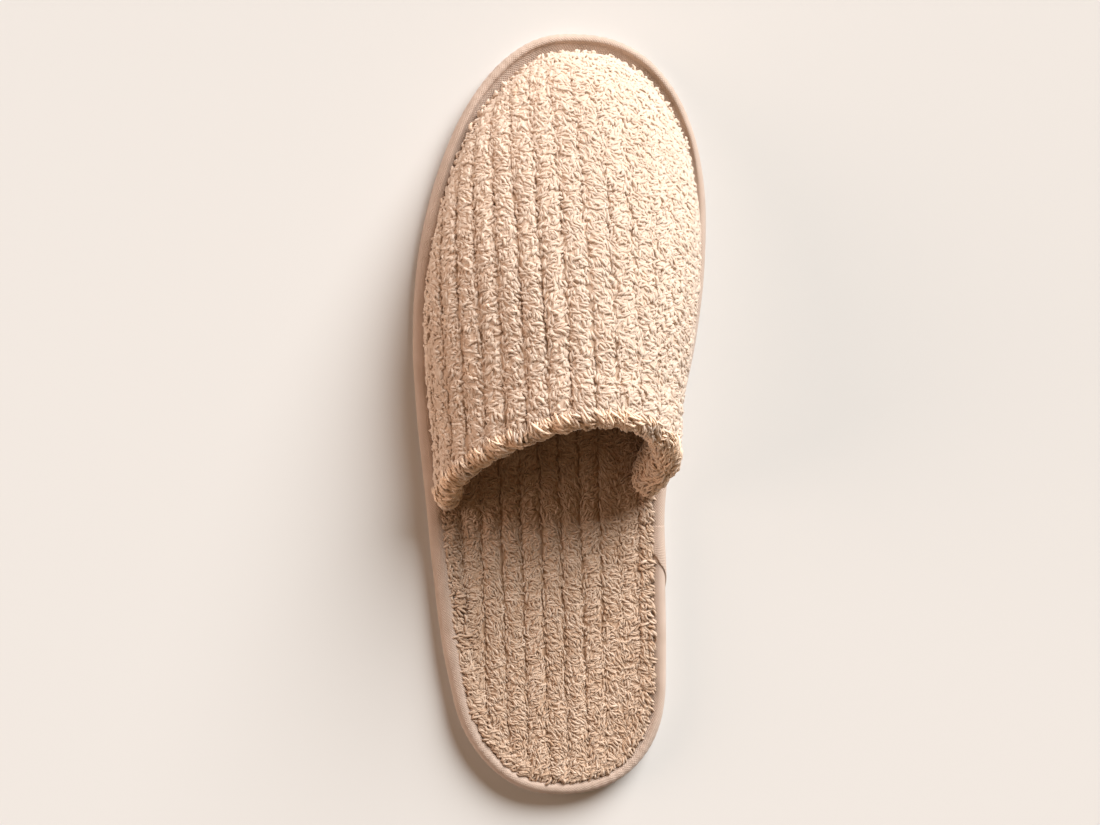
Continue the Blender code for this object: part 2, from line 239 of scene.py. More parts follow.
def makePiece(name, points, faceSets, material, fields=None, uv=None):
    # a mesh object from points in millimetres and arrays of face corners, three or four a face;
    # points that no face uses are left out
    mesh = bpy.data.meshes.new(name)
    corners = np.concatenate([faces.ravel() for faces in faceSets])
    used, corners = np.unique(corners, return_inverse=True)
    points, corners = points.reshape(-1, 3)[used], corners.ravel().astype(np.int32)
    sizes = np.concatenate([np.full(len(faces), faces.shape[1]) for faces in faceSets])
    starts = np.concatenate([[0], np.cumsum(sizes)[:-1]]).astype(np.int32)
    mesh.vertices.add(len(points))
    mesh.vertices.foreach_set("co", (points * mm).astype(np.float32).ravel())
    mesh.loops.add(len(corners))
    mesh.loops.foreach_set("vertex_index", corners)
    mesh.polygons.add(len(sizes))
    mesh.polygons.foreach_set("loop_start", starts)
    mesh.polygons.foreach_set("use_smooth", np.full(len(sizes), True))
    mesh.update(calc_edges=True)
    for field, values in (fields or {}).items():
        isVector = values.shape[-1] == 3
        values = values if isVector else values.ravel()
        kind, entry = ("FLOAT_VECTOR", "vector") if isVector else ("FLOAT", "value")
        layer = mesh.attributes.new(field, kind, "POINT")
        layer.data.foreach_set(entry, values[used].astype(np.float32).ravel())
    if uv is not None:
        layer = mesh.uv_layers.new(name="UVMap")
        layer.data.foreach_set("uv", uv.astype(np.float32).ravel())
    mesh.materials.append(material)
    piece = bpy.data.objects.new(name, mesh)
    bpy.context.scene.collection.objects.link(piece)
    return piece


def weld(piece, closed=True):
    # join points that lie on each other and drop the faces that vanish with them; the faces of a
    # closed piece are turned outwards
    bm = bmesh.new()
    bm.from_mesh(piece.data)
    bmesh.ops.remove_doubles(bm, verts=bm.verts, dist=mergeDistance)
    bmesh.ops.dissolve_degenerate(bm, edges=bm.edges, dist=mergeDistance)
    if closed:
        bmesh.ops.recalc_face_normals(bm, faces=bm.faces)
    bm.to_mesh(piece.data)
    bm.free()


def triangleCount(piece):
    # a face of n corners is n - 2 triangles
    return sum(len(polygon.vertices) - 2 for polygon in piece.data.polygons)


def finishPiece(piece, node=None):
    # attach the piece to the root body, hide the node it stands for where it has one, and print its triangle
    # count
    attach(piece, "root")
    if node:
        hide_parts(node)
    print(f"{piece.name}: {triangleCount(piece)} triangles")


def newMaterial(name, roughness, sheen=0.0):
    # a principled material, with what its nodes are made from
    material = bpy.data.materials.new(name)
    material.use_nodes = True
    shader = material.node_tree.nodes["Principled BSDF"]
    shader.inputs["Roughness"].default_value = roughness
    shader.inputs["Sheen Weight"].default_value = sheen
    shader.inputs["Sheen Roughness"].default_value = 0.5
    return material, material.node_tree.nodes, material.node_tree.links, shader


def addNode(nodes, kind, inputs=None, **settings):
    # a shader node with its settings, and with values for its inputs by name or number
    node = nodes.new("ShaderNode" + kind)
    for name, value in settings.items():
        setattr(node, name, value)
    for name, value in (inputs or {}).items():
        node.inputs[name].default_value = value
    return node


def addRamp(nodes, stops):
    # colours at their places along a ramp from 0 to 1
    ramp = addNode(nodes, "ValToRGB")
    elements = ramp.color_ramp.elements
    while len(elements) < len(stops):
        elements.new(0.5)
    for element, (place, colour) in zip(elements, stops):
        element.position = place
        element.color = (*colour, 1.0)
    return ramp


def wire(links, *joins):
    # every join is a node, its output, the next node and its input
    for source, output, target, entry in joins:
        links.new(source.outputs[output], target.inputs[entry])


def fineBump(nodes, links, shader, scale, detail, strength, depth):
    # dents from noise on object coordinates
    place = addNode(nodes, "TexCoord")
    noise = addNode(nodes, "TexNoise", {"Scale": scale, "Detail": detail})
    bump = addNode(nodes, "Bump", {"Strength": strength, "Distance": depth * mm})
    wire(links, (place, "Object", noise, "Vector"), (noise, "Fac", bump, "Height"),
         (bump, "Normal", shader, "Normal"))
    return bump


plush = {
    "roughness": 0.92,
    "sheen": 0.12,
    "patchScale": 90.0,
    "patchSpread": 0.22,
    "fibreScale": 2600.0,
    "fibreStrength": 0.25,
    "fibreDepth": 0.2,
    # tone and colour: painted shade deep in a valley, open pile, lit pile and a painted glow of thin loops
    # against the light
    "upper": ((0.0, (0.32, 0.18, 0.09)), (0.5, (0.69, 0.52, 0.395)), (0.85, (0.73, 0.595, 0.485)),
              (1.0, (0.95, 0.72, 0.53))),
    "insole": ((0.0, (0.145, 0.068, 0.031)), (0.5, (0.48, 0.313, 0.20)), (0.85, (0.61, 0.46, 0.345)),
               (1.0, (0.70, 0.54, 0.42))),
}


def plushMaterial(name, stops):
    # yarn coloured by the tone stored on it, which carries painted shade at the roots and in the valleys and
    # a painted glow at the top of its ramp, with faint patches and fine fibres. Light spreads inside a loop,
    # so the direction stored on it as drawn is added to its normal
    material, nodes, links, shader = newMaterial(name, plush["roughness"], plush["sheen"])
    place = addNode(nodes, "TexCoord")
    patches = addNode(nodes, "TexNoise", {"Scale": plush["patchScale"], "Detail": 3.0})
    spread = addNode(nodes, "Math", {1: plush["patchSpread"], 2: -plush["patchSpread"] / 2},
                     operation="MULTIPLY_ADD")
    tone = addNode(nodes, "Attribute", attribute_name="tone")
    total = addNode(nodes, "Math", operation="ADD")
    ramp = addRamp(nodes, stops)
    wire(links, (place, "Object", patches, "Vector"), (patches, "Fac", spread, 0),
         (tone, "Fac", total, 0), (spread, 0, total, 1),
         (total, 0, ramp, "Fac"), (ramp, "Color", shader, "Base Color"))
    bump = fineBump(nodes, links, shader, plush["fibreScale"], 2.0, plush["fibreStrength"],
                    plush["fibreDepth"])
    shape = addNode(nodes, "NewGeometry")
    drawn = addNode(nodes, "Attribute", attribute_name="drawn")
    facing = addNode(nodes, "VectorMath", operation="ADD")
    even = addNode(nodes, "VectorMath", operation="NORMALIZE")
    wire(links, (shape, "Normal", facing, 0), (drawn, "Vector", facing, 1), (facing, 0, even, 0),
         (even, 0, bump, "Normal"))
    return material


upperPlush = plushMaterial("upper_plush", plush["upper"])
insolePlush = plushMaterial("insole_plush", plush["insole"])
print("plush materials made")

strand = {
    # where the rings of a strand lie on it and how thick it is there; the tip is one point
    "rings": (
        {"at": 0.0, "thick": 0.70},
        {"at": 0.26, "thick": 1.0},
        {"at": 0.64, "thick": 1.0},
        {"at": 0.92, "thick": 0.78},
    ),
    "sides": 3,
    "flat": 0.70,
    "sink": 0.45,
    # the part of a half sine wave that a strand rises by, and how far up it the painted shade at the root
    # reaches
    "waveStart": 0.04,
    "waveSpan": 0.86,
    "shadeReach": 0.4,
}


def scatter(grid, spacing, rng):
    # one root for each square of spacing on average: roots keep to even steps of the summed area of
    # the grid's quads, and lie anywhere in their quad; every field is read between its corners
    corner = {name: (values[:-1, :-1], values[1:, :-1], values[1:, 1:], values[:-1, 1:])
              for name, values in grid.items()}
    a, b, c, d = corner["point"]
    area = np.linalg.norm(np.cross(c - a, d - b), axis=2).ravel() / 2
    covered = np.cumsum(area)
    count = int(covered[-1] / spacing ** 2)
    picks = np.searchsorted(covered, (np.arange(count) + rng.uniform(0, 1, count)) / count * covered[-1])
    picks = np.minimum(picks, len(area) - 1)
    u, v = rng.uniform(0, 1, count), rng.uniform(0, 1, count)
    found = {}
    for name, (a, b, c, d) in corner.items():
        deep = a.ndim == 3
        a, b, c, d = (values.reshape(len(area), -1)[picks] for values in (a, b, c, d))
        value = ((1 - u) * (1 - v))[:, None] * a + (u * (1 - v))[:, None] * b \
            + (u * v)[:, None] * c + ((1 - u) * v)[:, None] * d
        found[name] = value if deep else value[:, 0]
        if name in ("point", "rib"):
            found[name + "Down"] = (1 - v)[:, None] * (b - a) + v[:, None] * (c - d)
            found[name + "Over"] = (1 - u)[:, None] * (d - a) + u[:, None] * (c - b)
    found["normal"] /= np.linalg.norm(found["normal"], axis=1, keepdims=True)
    # across the ribs is the direction in the surface in which the rib field grows
    down, over = found["pointDown"], found["pointOver"]
    ribDown, ribOver = found["ribDown"], found["ribOver"]
    dd, oo = (down * down).sum(1, keepdims=True), (over * over).sum(1, keepdims=True)
    do = (down * over).sum(1, keepdims=True)
    across = (ribDown * oo - ribOver * do) * down + (ribOver * dd - ribDown * do) * over
    across /= np.maximum(np.linalg.norm(across, axis=1, keepdims=True), tiny)
    along = np.cross(found["normal"], across)
    found["along"] = along / np.maximum(np.linalg.norm(along, axis=1, keepdims=True), tiny)
    found["across"] = np.cross(found["along"], found["normal"])
    return found


def pick(roots, keep):
    return {name: values[keep] for name, values in roots.items()}


def edgeRoots(s, inset, z, lean):
    # roots at arc lengths s, moved inwards by inset: their normal leans from straight up towards the
    # middle of the sole, along follows the edge and across points up the slope and outwards
    x, y, inX, inY = edgeAt(s, inset)
    level = np.zeros(len(s))
    normal = np.stack([inX * np.sin(lean), inY * np.sin(lean), level + np.cos(lean)], axis=-1)
    along = np.stack([inY, -inX, level], axis=-1)
    point = np.stack([x, y, level + z], axis=-1)
    return {"point": point, "normal": normal, "along": along, "across": np.cross(along, normal)}


def growStrands(name, roots, heading, curl, length, lift, radius, tone, material, rootShade=1.0):
    # each strand is a tapered three-sided tube that lies over its root like a loop: its middle line
    # runs along heading, measured from along towards across, turns evenly by curl, and rises over
    # the surface by half a sine wave of height lift; its tone is darkened towards the root by painted shade
    at = np.array([row["at"] for row in strand["rings"]] + [1.0])
    thick = np.array([row["thick"] for row in strand["rings"]])
    turn = heading[:, None] + curl[:, None] * (at - 0.5)
    step = np.diff(at) * length[:, None]

    def placeAlong(slope):
        # sum of the steps, each by its mean slope, with the root at its middle
        place = np.concatenate([np.zeros((len(turn), 1)),
                                np.cumsum(step * (slope[:, 1:] + slope[:, :-1]) / 2, axis=1)], axis=1)
        return (place - 0.5 * place[:, -1:])[:, :, None]

    height = lift[:, None] * np.sin(np.pi * (strand["waveStart"] + strand["waveSpan"] * at))
    middle = (roots["point"][:, None, :] + placeAlong(np.cos(turn)) * roots["along"][:, None, :]
              + placeAlong(np.sin(turn)) * roots["across"][:, None, :]
              + (height - strand["sink"])[:, :, None] * roots["normal"][:, None, :])
    forward = np.gradient(middle, axis=1)
    forward /= np.linalg.norm(forward, axis=2, keepdims=True)
    side = np.cross(roots["normal"][:, None, :], forward)
    side /= np.maximum(np.linalg.norm(side, axis=2, keepdims=True), tiny)
    up = np.cross(forward, side)
    angle = quarterTurn + 2 * np.pi * np.arange(strand["sides"]) / strand["sides"]
    ringRadius = radius[:, None, None, None] * thick[None, :, None, None]
    spokes = (np.cos(angle)[None, None, :, None] * side[:, :-1, None, :]
              + strand["flat"] * np.sin(angle)[None, None, :, None] * up[:, :-1, None, :])
    rings = middle[:, :-1, None, :] + ringRadius * spokes
    count, ringCount, sides = rings.shape[:3]
    points = np.concatenate([rings.reshape(count, -1, 3), middle[:, -1:, :]], axis=1)
    perStrand = points.shape[1]
    tube = gridQuads(ringCount, sides, closeColumns=True)
    lastRing = (ringCount - 1) * sides + np.arange(sides)
    tip = np.stack([lastRing, np.full(sides, perStrand - 1), np.roll(lastRing, -1)], axis=1)
    base = np.arange(sides)[None, :]
    offsets = (np.arange(count) * perStrand)[:, None, None]
    faceSets = [(faces[None, :, ::-1] + offsets).reshape(-1, faces.shape[1])
                for faces in (tube, tip, base)]
    share = np.concatenate([np.repeat(at[:-1], sides), [1.0]])
    # painted shade: the tone darkens towards the root, where shade falls among the strands
    shade = rootShade + (1 - rootShade) * smoothStep(share / strand["shadeReach"])
    fields = {"tone": (tone[:, None] * shade[None, :]).ravel()}
    if "drawn" in roots:
        fields["drawn"] = np.repeat(roots["drawn"], perStrand, axis=0)
    return makePiece(name, points.reshape(-1, 3), faceSets, material, fields)


def ribOffset(rib, pitch):
    # place across one rib from -0.5 through 0 on its crest to 0.5; valleys lie at whole pitches
    return rib / pitch - np.floor(rib / pitch) - 0.5


def ribHeight(rib, pitch, depth):
    # round-topped ribs with narrow valleys: minus depth times (1 - sqrt |cos|) of the offset
    return -depth * (1.0 - np.sqrt(np.abs(np.cos(np.pi * ribOffset(rib, pitch)))))


# painted shade: the skin under the pile is darker in the valleys between the ribs
knit = {
    "ribTone": 0.62,
    "valleyDrop": 0.34,
    "valleyFrom": 0.35,
    "valleyEdge": 0.11,
}


def skinTone(rib, pitch):
    # painted shade: the knit under the pile is light on the ribs and darker towards the bottom of the
    # valleys, where shade falls
    valley = smoothStep((np.abs(ribOffset(rib, pitch)) - knit["valleyFrom"]) / knit["valleyEdge"])
    return knit["ribTone"] - knit["valleyDrop"] * valley


upper = {
    "wall": 4.6,
    # the wall rises straight from its foot on the outsole to just above the binding and arches there
    "footInset": 6.3,
    "footZ": topOf("outsole") + gap,
    "turnZ": topOf("binding") + gap,
    # the collar: where it stands at its feet and on its crest, how far its roll swells to either
    # face and how much farther low down on the inner side, and over what length and height it fades
    "collarFootY": {"outer": -34.0, "inner": -27.0},
    "collarCrestY": 1.0,
    "collarSwellOut": 1.2,
    "collarSwellIn": 3.4,
    "innerSideExtra": 0.2,
    "extraDrop": 30.0,
    "collarLength": 17.0,
    "collarHold": 0.35,
    "footRise": 2.5,
    # the share of the way from which sections lean to the toe, and how they crowd towards it
    "toeStart": 0.45,
    "crowding": 1.5,
    # station, height of the ridge and its distance from the middle
    "ridge": (
        {"y": 0.0, "height": 60.0, "x": 8.5},
        {"y": 25.0, "height": 58.3, "x": 8.0},
        {"y": 50.0, "height": 54.6, "x": 7.2},
        {"y": 75.0, "height": 49.2, "x": 6.2},
        {"y": 98.0, "height": 42.8, "x": 5.2},
    ),
    # share of the way from collar to toe, how square each side of the arch is and how far it bulges
    "arch": (
        {"y": 0.0, "outerPower": 1.68, "innerPower": 2.8, "outerBulge": 5.0, "innerBulge": 5.4},
        {"y": 0.3, "outerPower": 1.75, "innerPower": 2.6, "outerBulge": 5.6, "innerBulge": 2.6},
        {"y": 0.6, "outerPower": 2.0, "innerPower": 2.4, "outerBulge": 3.8, "innerBulge": 1.5},
        {"y": 1.0, "outerPower": 2.3, "innerPower": 2.3, "outerBulge": 0.6, "innerBulge": 0.6},
    ),
    "rows": 121,
    "columnsASide": 52,
    "rimRows": 9,
    # columns stand at even steps of the arch this share of the way to the toe
    "turnsAt": 0.33,
    "turnSamples": 800,
    # the girth is measured on lines from behind the collar to the toe, at even stations
    "girthStart": -0.3,
    "girthLines": 300,
    "girthStations": 150,
    "girthTop": 0.7,
    # ribs: pitch over the arch, how deep the skin dips between them, how they waver, how far the
    # skin lies under the tips of the pile, and the line of the fabric that the ribs run along
    "ribPitch": 8.5,
    "ribDepth": 2.1,
    "ribWobble": 0.35,
    "wobbleSize": 11.0,
    "wobbleSeed": 3,
    "skinSink": 0.6,
    "lineX": -2.2,
    "lineLean": -0.0645,
    # where the ribs grow shallow: past the rim, towards the toe, towards the inner side, at the foot
    "plainPast": (8.0, 22.0),
    "toeCalm": 0.45,
    "toeCalmY": (70.0, 120.0),
    "sideCalm": 0.5,
    "sideCalmX": (-20.0, 30.0),
    "footCalmZ": (-2.0, 4.0),
}
footS = {side: edgeLengthAt(side, y) for side, y in upper["collarFootY"].items()}


def archPoint(forward, turn):
    # outer face of the upper: forward runs from 0 at the collar to 1 at the toe, turn from -1 at the
    # outer foot over 0 on the ridge to 1 at the inner foot. Each half arch is a superellipse quarter
    # from its foot on the sole's edge to the ridge, bulged outwards by a half sine
    start = np.where(turn > 0, footS["inner"], footS["outer"])
    footPlace = start + (edge["toe"] - start) * forward
    footInset = upper["footInset"] + widening(edgeAt(footPlace)[1])
    baseX, baseY, inX, inY = edgeAt(footPlace, footInset)
    reached = 1.0 - np.sign(1.0 - forward) * np.abs(1.0 - forward) ** upper["crowding"]
    ridgeY = upper["collarCrestY"] + (upper["ridge"][-1]["y"] - upper["collarCrestY"]) * reached
    ridgeX = smoothCurve(upper["ridge"], "x", ridgeY)

    def bySide(name):
        outer = smoothCurve(upper["arch"], "outer" + name, forward, endSlope=0.0)
        inner = smoothCurve(upper["arch"], "inner" + name, forward, endSlope=0.0)
        return np.where(turn > 0, inner, outer)

    angle = (1.0 - np.abs(turn)) * quarterTurn
    power = 2.0 / bySide("Power")
    across = 1.0 - np.cos(angle) ** power
    up = np.sin(angle) ** power
    lean = smoothStep((forward - upper["toeStart"]) / (1.0 - upper["toeStart"]))
    along = lean * across + (1.0 - lean) * up
    swell = bySide("Bulge") * np.sin(np.pi * np.sqrt(angle / quarterTurn)) ** 2
    x = baseX + (ridgeX - baseX) * across - inX * swell
    y = baseY + (ridgeY - baseY) * along - inY * swell
    z = upper["turnZ"] + (smoothCurve(upper["ridge"], "height", y) - upper["turnZ"]) * up
    return np.stack([x, y, z], axis=-1)


def evenTurns(countASide):
    # turns at even steps over the arch on either side of the ridge
    dense = np.linspace(0.0, 1.0, upper["turnSamples"])
    turns = []
    for sign in (-1.0, 1.0):
        line = archPoint(np.full(len(dense), upper["turnsAt"]), sign * np.maximum(dense, tiny))
        length = np.concatenate([[0.0], np.cumsum(np.linalg.norm(np.diff(line, axis=0), axis=1))])
        turns.append(sign * np.interp(np.linspace(0, length[-1], countASide + 1), length, dense))
    return np.concatenate([turns[0][::-1], turns[1][1:]])


def girthPlace(y, turns):
    # distance of each point over the arch from the fabric's own line, measured in the plane across
    # its station. y has one column for each turn
    forward = np.linspace(upper["girthStart"], 1.0, upper["girthLines"])
    surface = archPoint(forward[:, None], turns[None, :])
    stations = np.linspace(surface[0, :, 1].max(), surface[-1, :, 1].max(), upper["girthStations"])
    x, z = (np.stack([np.interp(stations, line[:, 1], line[:, k]) for line in surface.swapaxes(0, 1)], 1)
            for k in (0, 2))
    # in front of the ridge's end the section crosses the middle of the toe instead
    outerHalf = turns <= 0
    toeLine = surface[-1, outerHalf][::-1]
    crossX, crossZ = (np.interp(stations, toeLine[:, 1], toeLine[:, k]) for k in (0, 2))
    missing = surface[-1, :, 1][None, :] < stations[:, None]
    x = np.where(missing, crossX[:, None], x)
    z = np.where(missing, crossZ[:, None], z)
    step = np.hypot(*(np.diff(values, axis=1, prepend=values[:, :1]) for values in (x, z)))
    arc = np.cumsum(step, axis=1)
    line = upper["lineX"] + upper["lineLean"] * stations
    top = np.abs(turns) < upper["girthTop"]
    zero = np.array([np.interp(at, row[top], length[top]) for at, row, length in zip(line, x, arc)])
    place = arc - zero[:, None]
    return np.stack([np.interp(y[:, k], stations, place[:, k]) for k in range(len(turns))], 1)


def upperGrid():
    # the whole wall as one sheet of rows: outer face from toe to collar, half circles over the rim,
    # inner face from collar to toe. Column by column it runs from the outer foot to the inner foot
    turns = evenTurns(upper["columnsASide"])
    forward = np.linspace(0.0, 1.0, upper["rows"])
    outer = archPoint(forward[:, None], turns[None, :])
    rib = girthPlace(outer[:, :, 1], turns)
    foot = outer[:, [0, -1]].copy()
    foot[:, :, 2] = upper["footZ"]
    outer = np.concatenate([foot[:, :1], outer, foot[:, 1:]], axis=1)
    rib = np.concatenate([rib[:, :1], rib, rib[:, -1:]], axis=1)
    rows, columns = rib.shape

    # the two halves of the last row are one line, so its normals are shared between them
    normal = vertexNormals(outer.reshape(-1, 3), gridQuads(rows, columns)[:, ::-1]).reshape(rows, columns, 3)
    normal[-1] += normal[-1, ::-1]
    normal[:, [0, 1, -2, -1], 2] = 0.0
    normal /= np.linalg.norm(normal, axis=2, keepdims=True)

    depth = np.cumsum(np.linalg.norm(np.diff(outer, axis=0, prepend=outer[:1]), axis=2), axis=0)
    swelling = 1.0 - easeBetween(depth / upper["collarLength"], upper["collarHold"], 1.0)
    swelling = swelling * easeBetween(outer[:, :, 2] - upper["turnZ"], 0.0, upper["footRise"])
    # the roll is fatter where the inner side stands upright
    middle = columns // 2
    low = smoothStep((outer[:, middle:middle + 1, 2] - outer[:, :, 2]) / upper["extraDrop"])
    low = low * (np.arange(columns) > middle)
    swellIn = upper["collarSwellIn"] + upper["innerSideExtra"] * low
    inner = outer - normal * (upper["wall"] + swellIn * swelling)[:, :, None]
    outer = outer + normal * (upper["collarSwellOut"] * swelling)[:, :, None]

    centre, across = (outer[0] + inner[0]) / 2, (outer[0] - inner[0]) / 2
    tangent = np.gradient(outer[0], axis=0)
    back = np.cross(across, tangent)
    back *= np.sign(((outer[0] - outer[1]) * back).sum(1, keepdims=True))
    back[[0, 1, -2, -1], 2] = 0.0
    back *= np.linalg.norm(across, axis=1, keepdims=True) / np.linalg.norm(back, axis=1, keepdims=True)
    bend = np.pi * np.arange(1, upper["rimRows"] + 1) / (upper["rimRows"] + 1)
    rim = centre + across * np.cos(bend)[:, None, None] + back * np.sin(bend)[:, None, None]
    points = np.concatenate([outer[::-1], rim, inner])

    # how far each row lies past the top of the rim, along the sheet
    step = np.linalg.norm(np.diff(points, axis=0, prepend=points[:1]), axis=2)
    past = np.cumsum(step, axis=0)
    past -= past[rows + upper["rimRows"] // 2]
    allRib = np.concatenate([rib[::-1], np.repeat(rib[:1], upper["rimRows"], axis=0), rib])
    wobble = softNoise(allRib, points[:, :, 1], upper["wobbleSize"],
                       np.random.default_rng(upper["wobbleSeed"]))
    return {"point": points, "rib": allRib + upper["ribWobble"] * wobble, "past": past}, rows


def makeUpperSkin(grid, rows):
    # closed wall under the pile: ribs press in between valleys, the last rows are sewn along the
    # middle of the toe, and a strip closes the lower edge
    count, columns = grid["rib"].shape
    quads = gridQuads(count, columns)
    normal = vertexNormals(grid["point"].reshape(-1, 3), quads).reshape(count, columns, 3)
    normal[[0, -1]] += normal[[0, -1], ::-1]
    normal[:, [0, 1, -2, -1], 2] = 0.0
    normal /= np.linalg.norm(normal, axis=2, keepdims=True)
    facing = np.sign(normal[rows // 2, columns // 2, 2])
    normal *= facing
    grid["normal"] = normal
    x, y, z = (grid["point"][:, :, k] for k in range(3))
    outside = 1.0 - easeBetween(grid["past"], *upper["plainPast"])
    calm = 1.0 - upper["toeCalm"] * easeBetween(y, *upper["toeCalmY"])
    calm = calm * (1.0 - upper["sideCalm"] * easeBetween(x, *upper["sideCalmX"]))
    clearFoot = easeBetween(z - upper["turnZ"], *upper["footCalmZ"])
    dip = ribHeight(grid["rib"], upper["ribPitch"], upper["ribDepth"] * calm)
    skin = grid["point"] + normal * ((dip - upper["skinSink"]) * outside * clearFoot)[:, :, None]
    grid["skin"] = skin

    number = np.arange(count * columns).reshape(count, columns)
    half = columns // 2
    for row in (0, -1):
        number[row, half + 1:] = number[row, :half][::-1]
    sewn = number.ravel()[quads]
    strips = []
    middle = count // 2
    for column, flip in ((0, 1), (-1, -1)):
        line = number[:, column]
        partner = line[::-1]
        quad = np.stack([line[:middle - 1], line[1:middle], partner[1:middle], partner[:middle - 1]], axis=1)
        last = line[[middle - 1, middle, middle + 1]][None, :]
        strips.append((quad[:, ::flip], last[:, ::flip]))
    quads = np.concatenate([sewn] + [quad for quad, _ in strips])
    corners = np.concatenate([last for _, last in strips])
    if facing < 0:
        quads, corners = quads[:, ::-1], corners[:, ::-1]
    return skin, [quads, corners]


upperSheet, outerRows = upperGrid()
skinPoints, skinFaces = makeUpperSkin(upperSheet, outerRows)
upperSkin = makePiece("upper_skin", skinPoints, skinFaces, upperPlush,
                      {"tone": skinTone(upperSheet["rib"], upper["ribPitch"])})
finishPiece(upperSkin, node="upper")

yarn = {
    "seed": 11,
    "sizeLimits": (0.5, 1.5),               # least and greatest share of the mean
    "toneDrift": 0.05,
    "toneSize": 14.0,
    # which ribs lie to the other side: where a sine over their numbers is below the limit
    "wayPace": 2.4,
    "wayStart": 1.0,
    "wayLimit": -0.45,
    "wanderSize": 8.0,
    "reachDrift": 0.05,
    "reachSize": 5.0,
    "leastRoom": 0.1,
    "valleyEdge": 0.06,
    "valleyBare": 0.93,
    # tufts on an edge: how they swirl, and how far they move with the widening round the toe
    "edgeSwirl": 0.5,
    "edgeSwirlSize": 9.0,
    "edgeWidening": 1.4,
}

upperPile = {
    # a strand for each square of spacing, up to a line before the top of the rim; the mean and the
    # spread of its length, lift and radius, and how far it turns
    "spacing": 1.16,
    "endsBefore": 5.0,
    "length": (3.2, 0.7),
    "lift": (0.70, 0.20),
    "radius": (0.76, 0.10),
    "curl": 1.2,
    # patches that stand a little higher or lower
    "lump": 0.24,
    "lumpSize": 4.0,
    # place on the material's ramp and its spread, share of it left at the root by painted shade, and spread
    # of the light
    "tone": 0.78,
    "toneSpread": 0.045,
    "rootShade": 0.82,
    "drawn": 0.28,
    # heading, from along the rib: slant of a whole rib, wander of a patch, jitter of a strand
    "slant": 2.2,
    "wander": 0.9,
    "jitter": 0.5,
    # shares of the pitch from a rib's crest: where roots end, and how far strands reach and stray
    "valley": 0.42,
    "reach": 0.44,
    "stray": 0.10,
    # axis, and the places along it between which the valleys close, and by how much they do
    "closes": ((1, 60.0, 130.0), (0, 0.0, 45.0)),
    "closing": 0.12,
}


def closing(roots, style):
    # towards some edges of the fabric the pile closes over the valleys: how much farther it reaches
    share = 0.0
    for axis, start, end in style["closes"]:
        share = share + easeBetween(roots["point"][:, axis], start, end)
    return style["closing"] * np.minimum(share, 1.0)


def ribHeading(roots, style, pitch, rng):
    # which way strands lie: every rib has its slant to one side, patches of a few millimetres wander
    # from it together and each strand strays a little more, but none reaches over a valley
    place = roots["rib"], roots["point"][:, 1]
    rib = np.floor(roots["rib"] / pitch)
    way = np.where(np.sin(yarn["wayPace"] * rib + yarn["wayStart"]) > yarn["wayLimit"], 1.0, -1.0)
    wander = softNoise(*place, yarn["wanderSize"], rng) * style["wander"]
    heading = way * style["slant"] + wander + rng.normal(0.0, style["jitter"], len(rib))
    reach = style["reach"] + rng.normal(0.0, style["stray"], len(rib))
    reach += closing(roots, style) + yarn["reachDrift"] * softNoise(*place, yarn["reachSize"], rng)
    room = (reach - np.abs(ribOffset(roots["rib"], pitch))) * pitch / (style["length"][0] / 2)
    room = np.maximum(room, yarn["leastRoom"])
    aside = np.clip(np.sin(heading), -room, room)
    return np.arctan2(aside, np.sign(np.cos(heading)) * np.sqrt(1.0 - np.minimum(aside ** 2, 1.0)))


def growPile(name, roots, style, heading, rng, material):
    # a field of strands: their sizes spread normally round the means, and their tone and the height
    # of their roots drift in soft patches
    count = len(heading)
    place = roots["rib"], roots["point"][:, 1]
    least, most = yarn["sizeLimits"]
    length, lift, radius = (rng.normal(*style[key], count).clip(least * style[key][0], most * style[key][0])
                            for key in ("length", "lift", "radius"))
    curl = rng.normal(0.0, style["curl"], count)
    tone = rng.normal(style["tone"], style["toneSpread"], count)
    tone = tone + yarn["toneDrift"] * softNoise(*place, yarn["toneSize"], rng)
    lump = style["lump"] * softNoise(*place, style["lumpSize"], rng)
    roots = dict(roots, point=roots["point"] + roots["normal"] * lump[:, None],
                 drawn=roots["normal"] * style["drawn"])
    return growStrands(name, roots, heading, curl, length, lift, radius, tone, material, style["rootShade"])


def onRibs(roots, style, pitch, rng):
    # strands grow on the ribs and hardly in the valleys between them
    offset = np.abs(ribOffset(roots["rib"], pitch)) - style["valley"] - closing(roots, style)
    bare = smoothStep(offset / yarn["valleyEdge"] + 0.5) * yarn["valleyBare"]
    return rng.uniform(0, 1, len(offset)) > bare


def sheetRows(first, last):
    # rows of the upper's sheet between its two foot columns, with the fields that roots need
    return {name: upperSheet[source][first:last, 1:-1]
            for name, source in (("point", "skin"), ("normal", "normal"), ("rib", "rib"), ("past", "past"))}


rng = np.random.default_rng(yarn["seed"])
roots = scatter(sheetRows(0, outerRows + upper["rimRows"] // 2 + 1), upperPile["spacing"], rng)
roots = pick(roots, onRibs(roots, upperPile, upper["ribPitch"], rng)
             & (roots["past"] < -upperPile["endsBefore"]))
middleX = upper["lineX"] + upper["lineLean"] * roots["point"][:, 1]
for name, side in (("upper_pile_outer", roots["point"][:, 0] < middleX),
                   ("upper_pile_inner", roots["point"][:, 0] >= middleX)):
    part = pick(roots, side)
    heading = ribHeading(part, upperPile, upper["ribPitch"], rng)
    finishPiece(growPile(name, part, upperPile, heading, rng, upperPlush))

